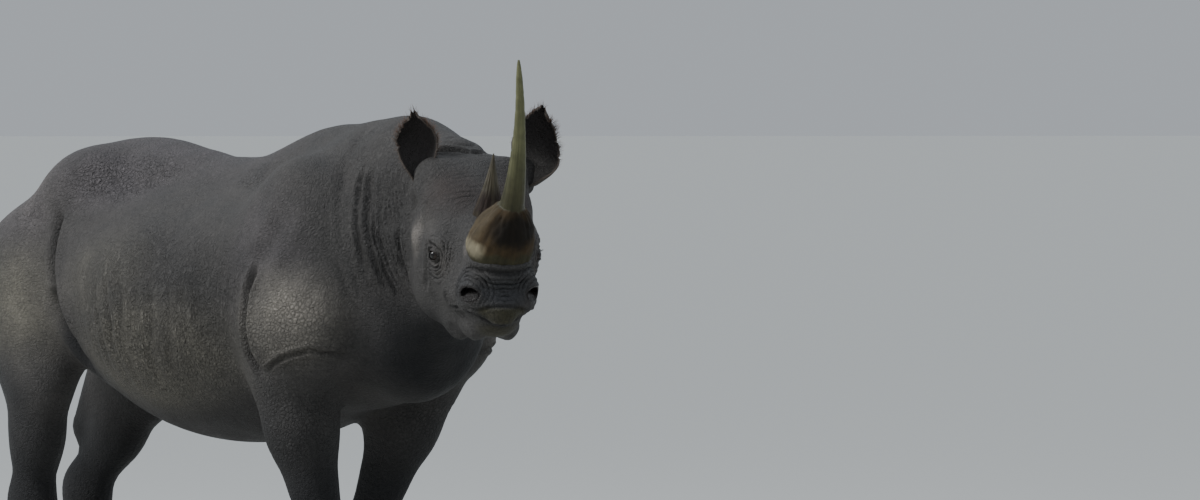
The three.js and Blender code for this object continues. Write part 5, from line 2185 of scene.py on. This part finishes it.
    def _map(self, mesh: Mesh) -> None:
        """Lays each hair as a small patch at its root's place on the unwrap."""
        along, around, spot = (get_layer(mesh, name) for name in ("along", "around", "spot"))
        corner = np.empty(len(mesh.loops), dtype=int)
        mesh.loops.foreach_get("vertex_index", corner)
        begin = np.empty(len(mesh.polygons), dtype=int)
        mesh.polygons.foreach_get("loop_start", begin)
        share = around[corner] / (2.0 * math.pi) + 0.5
        face = np.repeat(np.arange(len(begin)), np.diff(np.append(begin, len(corner))))
        wide = (np.maximum.reduceat(share, begin) - np.minimum.reduceat(share, begin)) > 0.5
        share += np.where(wide[face] & (share < 0.5), 1.0, 0.0)
        root = spot[corner, :2]
        disc = np.stack([np.cos(around[corner]), np.sin(around[corner])], axis=1) * 0.1
        uv = root + self.patch * (np.stack([share, along[corner]], axis=1) * 0.8 + disc + 0.1)
        layer = mesh.uv_layers.new(name="OFBake")
        layer.data.foreach_set("uv", np.clip(uv, 0.0, 1.0).astype(np.float32).ravel())


@dataclass(frozen=True)
class EarFringe:
    """Short reddish hairs round the ears' rims.

    Attributes:
        each: How many on an ear.
        longest: The length of the longest.
    """

    each: int = 330
    longest: float = 26.0

    def roots(self, ear: Ear) -> Roots:
        """The roots on one ear."""
        rng = np.random.default_rng(101 + ear.side.value)
        t = 0.3 + 0.7 * rng.random(self.each) ** 0.6
        s = np.where(rng.random(self.each) < 0.5, -1.0, 1.0) * (1.0 - 0.08 * rng.random(self.each))
        s = np.where(t > 0.97, rng.uniform(-1.0, 1.0, self.each), s)
        inset = np.full(self.each, 2.5)
        own = ear.ragged(t, s, ear.spot(t, s, inset))
        middle = np.array([0.0, 0.0, ear.length * 0.45])
        aim = unit(own - middle) + np.array([0.25, 0.0, 0.35]) + rng.normal(0.0, 0.28, own.shape)
        matrix = ear.frame()
        spots = np.stack([0.5 + 0.25 * ear.side.value + 0.23 * s, 0.02 + 0.95 * t], axis=1)
        lengths = self.longest * (0.45 + 0.55 * smooth((t - 0.3) / 0.6))
        return Roots(place(matrix, own), unit(aim) @ matrix[:3, :3].T, lengths, spots)

    def build(self) -> None:
        """Makes, dresses and hands over the fringe."""
        roots = Roots.together([self.roots(ear) for ear in EARS])
        finish = HairFinish((0.045, 0.025, 0.016), (0.160, 0.085, 0.052)).mix("ear hair")
        grower = HairGrower(thickness=0.03, bend=0.3, vary=0.6, seed=11)
        obj = grower.grow("ear_fringe", roots, finish)
        hand_over(obj, finish, "bristle")


@dataclass(frozen=True)
class TailBrush:
    """The long stiff hairs at the tail's end.

    Attributes:
        count: How many hairs.
        high: The height of the topmost roots.
        low: The height of the lowest.
        tail_radius: How far the roots are from the tail's middle.
        end: The height that no hair hangs below.
        longest: The length of the longest.
    """

    count: int = 620
    high: float = 905.0
    low: float = 806.0
    tail_radius: float = 14.0
    end: float = 640.0
    longest: float = 190.0

    def build(self) -> None:
        """Makes, dresses and hands over the brush."""
        rng = np.random.default_rng(211)
        z = mix(self.low, self.high, rng.random(self.count) ** 1.4)
        line = np.array(TAIL_LINE)[::-1]
        x, y = (np.interp(z, line[:, 2], line[:, i]) for i in (0, 1))
        angle = rng.uniform(0.0, 2.0 * math.pi, self.count)
        out = np.stack([np.cos(angle), np.sin(angle), np.zeros(self.count)], axis=1)
        points = np.stack([x, y, z], axis=1) + out * self.tail_radius
        aim = np.array([0.05, 0.0, -1.0]) + out * rng.uniform(0.05, 0.2, self.count)[:, None]
        lengths = np.minimum(z - self.end, self.longest)
        share = np.stack([angle / (2.0 * math.pi), (z - self.low) / (self.high - self.low)], axis=1)
        finish = HairFinish().mix("tail bristle")
        grower = HairGrower(thickness=0.008, bend=0.1, vary=0.45, seed=7, steps=6)
        roots = Roots(points, unit(aim), lengths, 0.01 + 0.97 * share)
        obj = grower.grow("tail_bristles", roots, finish)
        hand_over(obj, finish, "bristle", "tail_brush")


LASH_OUT = 1.04  # where the lashes grow, as a share of the eye hole
LID_RIDGE = 3.4  # how far off the ball their roots are


@dataclass(frozen=True)
class Lashes:
    """The lashes along each upper lid, and a few below.

    Attributes:
        upper: How many above an eye.
        lower: How many below it.
        length: How long the upper ones are; the lower ones are half as long.
    """

    upper: int = 34
    lower: int = 14
    length: float = 10.0

    def roots(self, side: Side) -> Roots:
        """The roots round one eye."""
        rng = np.random.default_rng(307 + side.value)
        middle, way = EYE_HOLE.axes(side)
        count = self.upper + self.lower
        top = np.arange(count) < self.upper
        u = np.where(top, rng.uniform(-0.9, 0.9, count), rng.uniform(-0.7, 0.7, count))
        v = np.sqrt(1.0 - u * u) * np.where(top, 1.0, -1.0)
        x, y = u * EYE_HOLE.half[0] * LASH_OUT, v * EYE_HOLE.half[1] * LASH_OUT
        z = np.sqrt(np.maximum((EYE_RADIUS + LID_RIDGE) ** 2 - x * x - y * y, 0.0))
        own = np.stack([x, y, z], axis=1)
        aim = np.stack([u * 0.5, v * 0.5 - 0.15, np.ones(count)], axis=1)
        aim += rng.normal(0.0, 0.12, (count, 3))
        points = place(HEAD_TURN, own @ way + middle)
        lengths = self.length * np.where(top, 1.0, 0.5)
        spots = np.stack([0.5 + 0.48 * u, np.where(top, 0.9, 0.1) + 0.04 * side.value], axis=1)
        return Roots(points, unit(aim) @ way @ HEAD_TURN[:3, :3].T, lengths, spots)

    def build(self) -> None:
        """Makes, dresses and hands over the lashes."""
        roots = Roots.together([self.roots(side) for side in Side])
        finish = HairFinish().mix("eyelash")
        grower = HairGrower(thickness=0.035, bend=0.35, vary=0.35, seed=5)
        obj = grower.grow("eyelashes", roots, finish)
        hand_over(obj, finish, "bristle")


# ---------- stage
@dataclass
class Stage:
    """Floor, sky, light and camera.

    Attributes:
        distance: How far off the camera stands, in metres.
        eye_level: Its height.
        azimuth: Its direction, degrees round from straight behind +Y.
        lens: Focal length in mm for a 36 mm wide sensor.
        aim_right: Where it looks, to the right of X = 0 as it sees it.
        aim_height: Where it looks, above the floor.
        floor_half: Half the floor's width.
    """

    distance: float = 23.0
    eye_level: float = 1.57
    azimuth: float = 54.0
    lens: float = 238.05
    aim_right: float = 0.7101
    aim_height: float = 1.228
    floor_half: float = 2500.0

    def build(self) -> None:
        """Sets the floor, the sky, the lights and the camera."""
        self._floor()
        self._sky()
        self._key_light()
        self._camera()

    def _floor(self) -> None:
        """A plain pale floor, out to the horizon."""
        half = self.floor_half
        corners = [(-half, -half, 0.0), (half, -half, 0.0), (half, half, 0.0), (-half, half, 0.0)]
        mesh = bpy.data.meshes.new("floor")
        mesh.from_pydata(corners, [], [(0, 1, 2, 3)])
        floor = bpy.data.objects.new("floor", mesh)
        bpy.context.scene.collection.objects.link(floor)
        pale = (0.50, 0.50, 0.48, 1.0)
        material = Recipe("pale floor").done(pale, 0.95, None, Specular_IOR_Level=0.1)
        mesh.materials.append(material)

    def _sky(self) -> None:
        """An even pale sky, brighter overhead."""
        world = bpy.data.worlds.new("sky")
        world.use_nodes = True
        node = partial(add_node, world.node_tree)
        way = node("ShaderNodeTexCoord", {}).outputs["Generated"]
        up = node("ShaderNodeSeparateXYZ", {0: way}).outputs["Z"]
        feeds = {"Value": up, "From Min": 0.02, "From Max": 0.9, "To Min": 0.48, "To Max": 1.25}
        sky = world.node_tree.nodes["Background"]
        feed(sky.inputs["Color"], (0.84, 0.90, 0.97, 1.0))
        feed(sky.inputs["Strength"], node("ShaderNodeMapRange", feeds).outputs["Result"])
        bpy.context.scene.world = world

    @staticmethod
    def _aimed(name: str, data: bpy.types.ID, at: Array, aim: Array) -> Object:
        """Sets up a light or a camera at a place, aimed at a point."""
        obj = bpy.data.objects.new(name, data)
        obj.location = at
        obj.rotation_mode = "QUATERNION"
        obj.rotation_quaternion = Vector(aim - at).to_track_quat("-Z", "Y")
        bpy.context.scene.collection.objects.link(obj)
        return obj

    def _key_light(self) -> None:
        """A large soft light, high up in front of the animal's right side."""
        light = bpy.data.lights.new("key light", "AREA")
        light.size, light.energy = 4.5, 900.0
        self._aimed("key light", light, np.array([-3.2, -6.5, 7.0]), np.array([0.0, 0.0, 0.9]))

    def _camera(self) -> None:
        """The camera: far off, at the animal's own height."""
        a = math.radians(self.azimuth)
        right = np.array([math.cos(a), math.sin(a), 0.0])
        toward = np.array([math.sin(a), -math.cos(a), 0.0])
        ground = np.array([OFFSET[0], OFFSET[1], 0.0])
        eye = ground + toward * self.distance + np.array([0.0, 0.0, self.eye_level])
        aim = ground + right * self.aim_right + np.array([0.0, 0.0, self.aim_height])
        data = bpy.data.cameras.new("camera")
        data.lens, data.sensor_width, data.clip_end = self.lens, 36.0, 6000.0
        bpy.context.scene.camera = self._aimed("camera", data, eye, aim)


def main() -> None:
    """Builds every piece in order."""
    logging.basicConfig(level=logging.INFO, format="%(message)s")
    Stage().build()
    Skin().build()
    FrontHorn().build("front_horn", HornFinish())
    darker = HornFinish(pad=(0.024, 0.017, 0.014), spike=(0.046, 0.039, 0.024))
    RearHorn().build("rear_horn", darker)
    eye = EyeFinish().mix()
    for side in Side:
        Eyeball(side).build(eye)
    nail = NailFinish().mix()
    for name in LEGS:
        Nails(name).build(nail)
    EarFringe().build()
    TailBrush().build()
    Lashes().build()


if __name__ == "__main__":
    main()
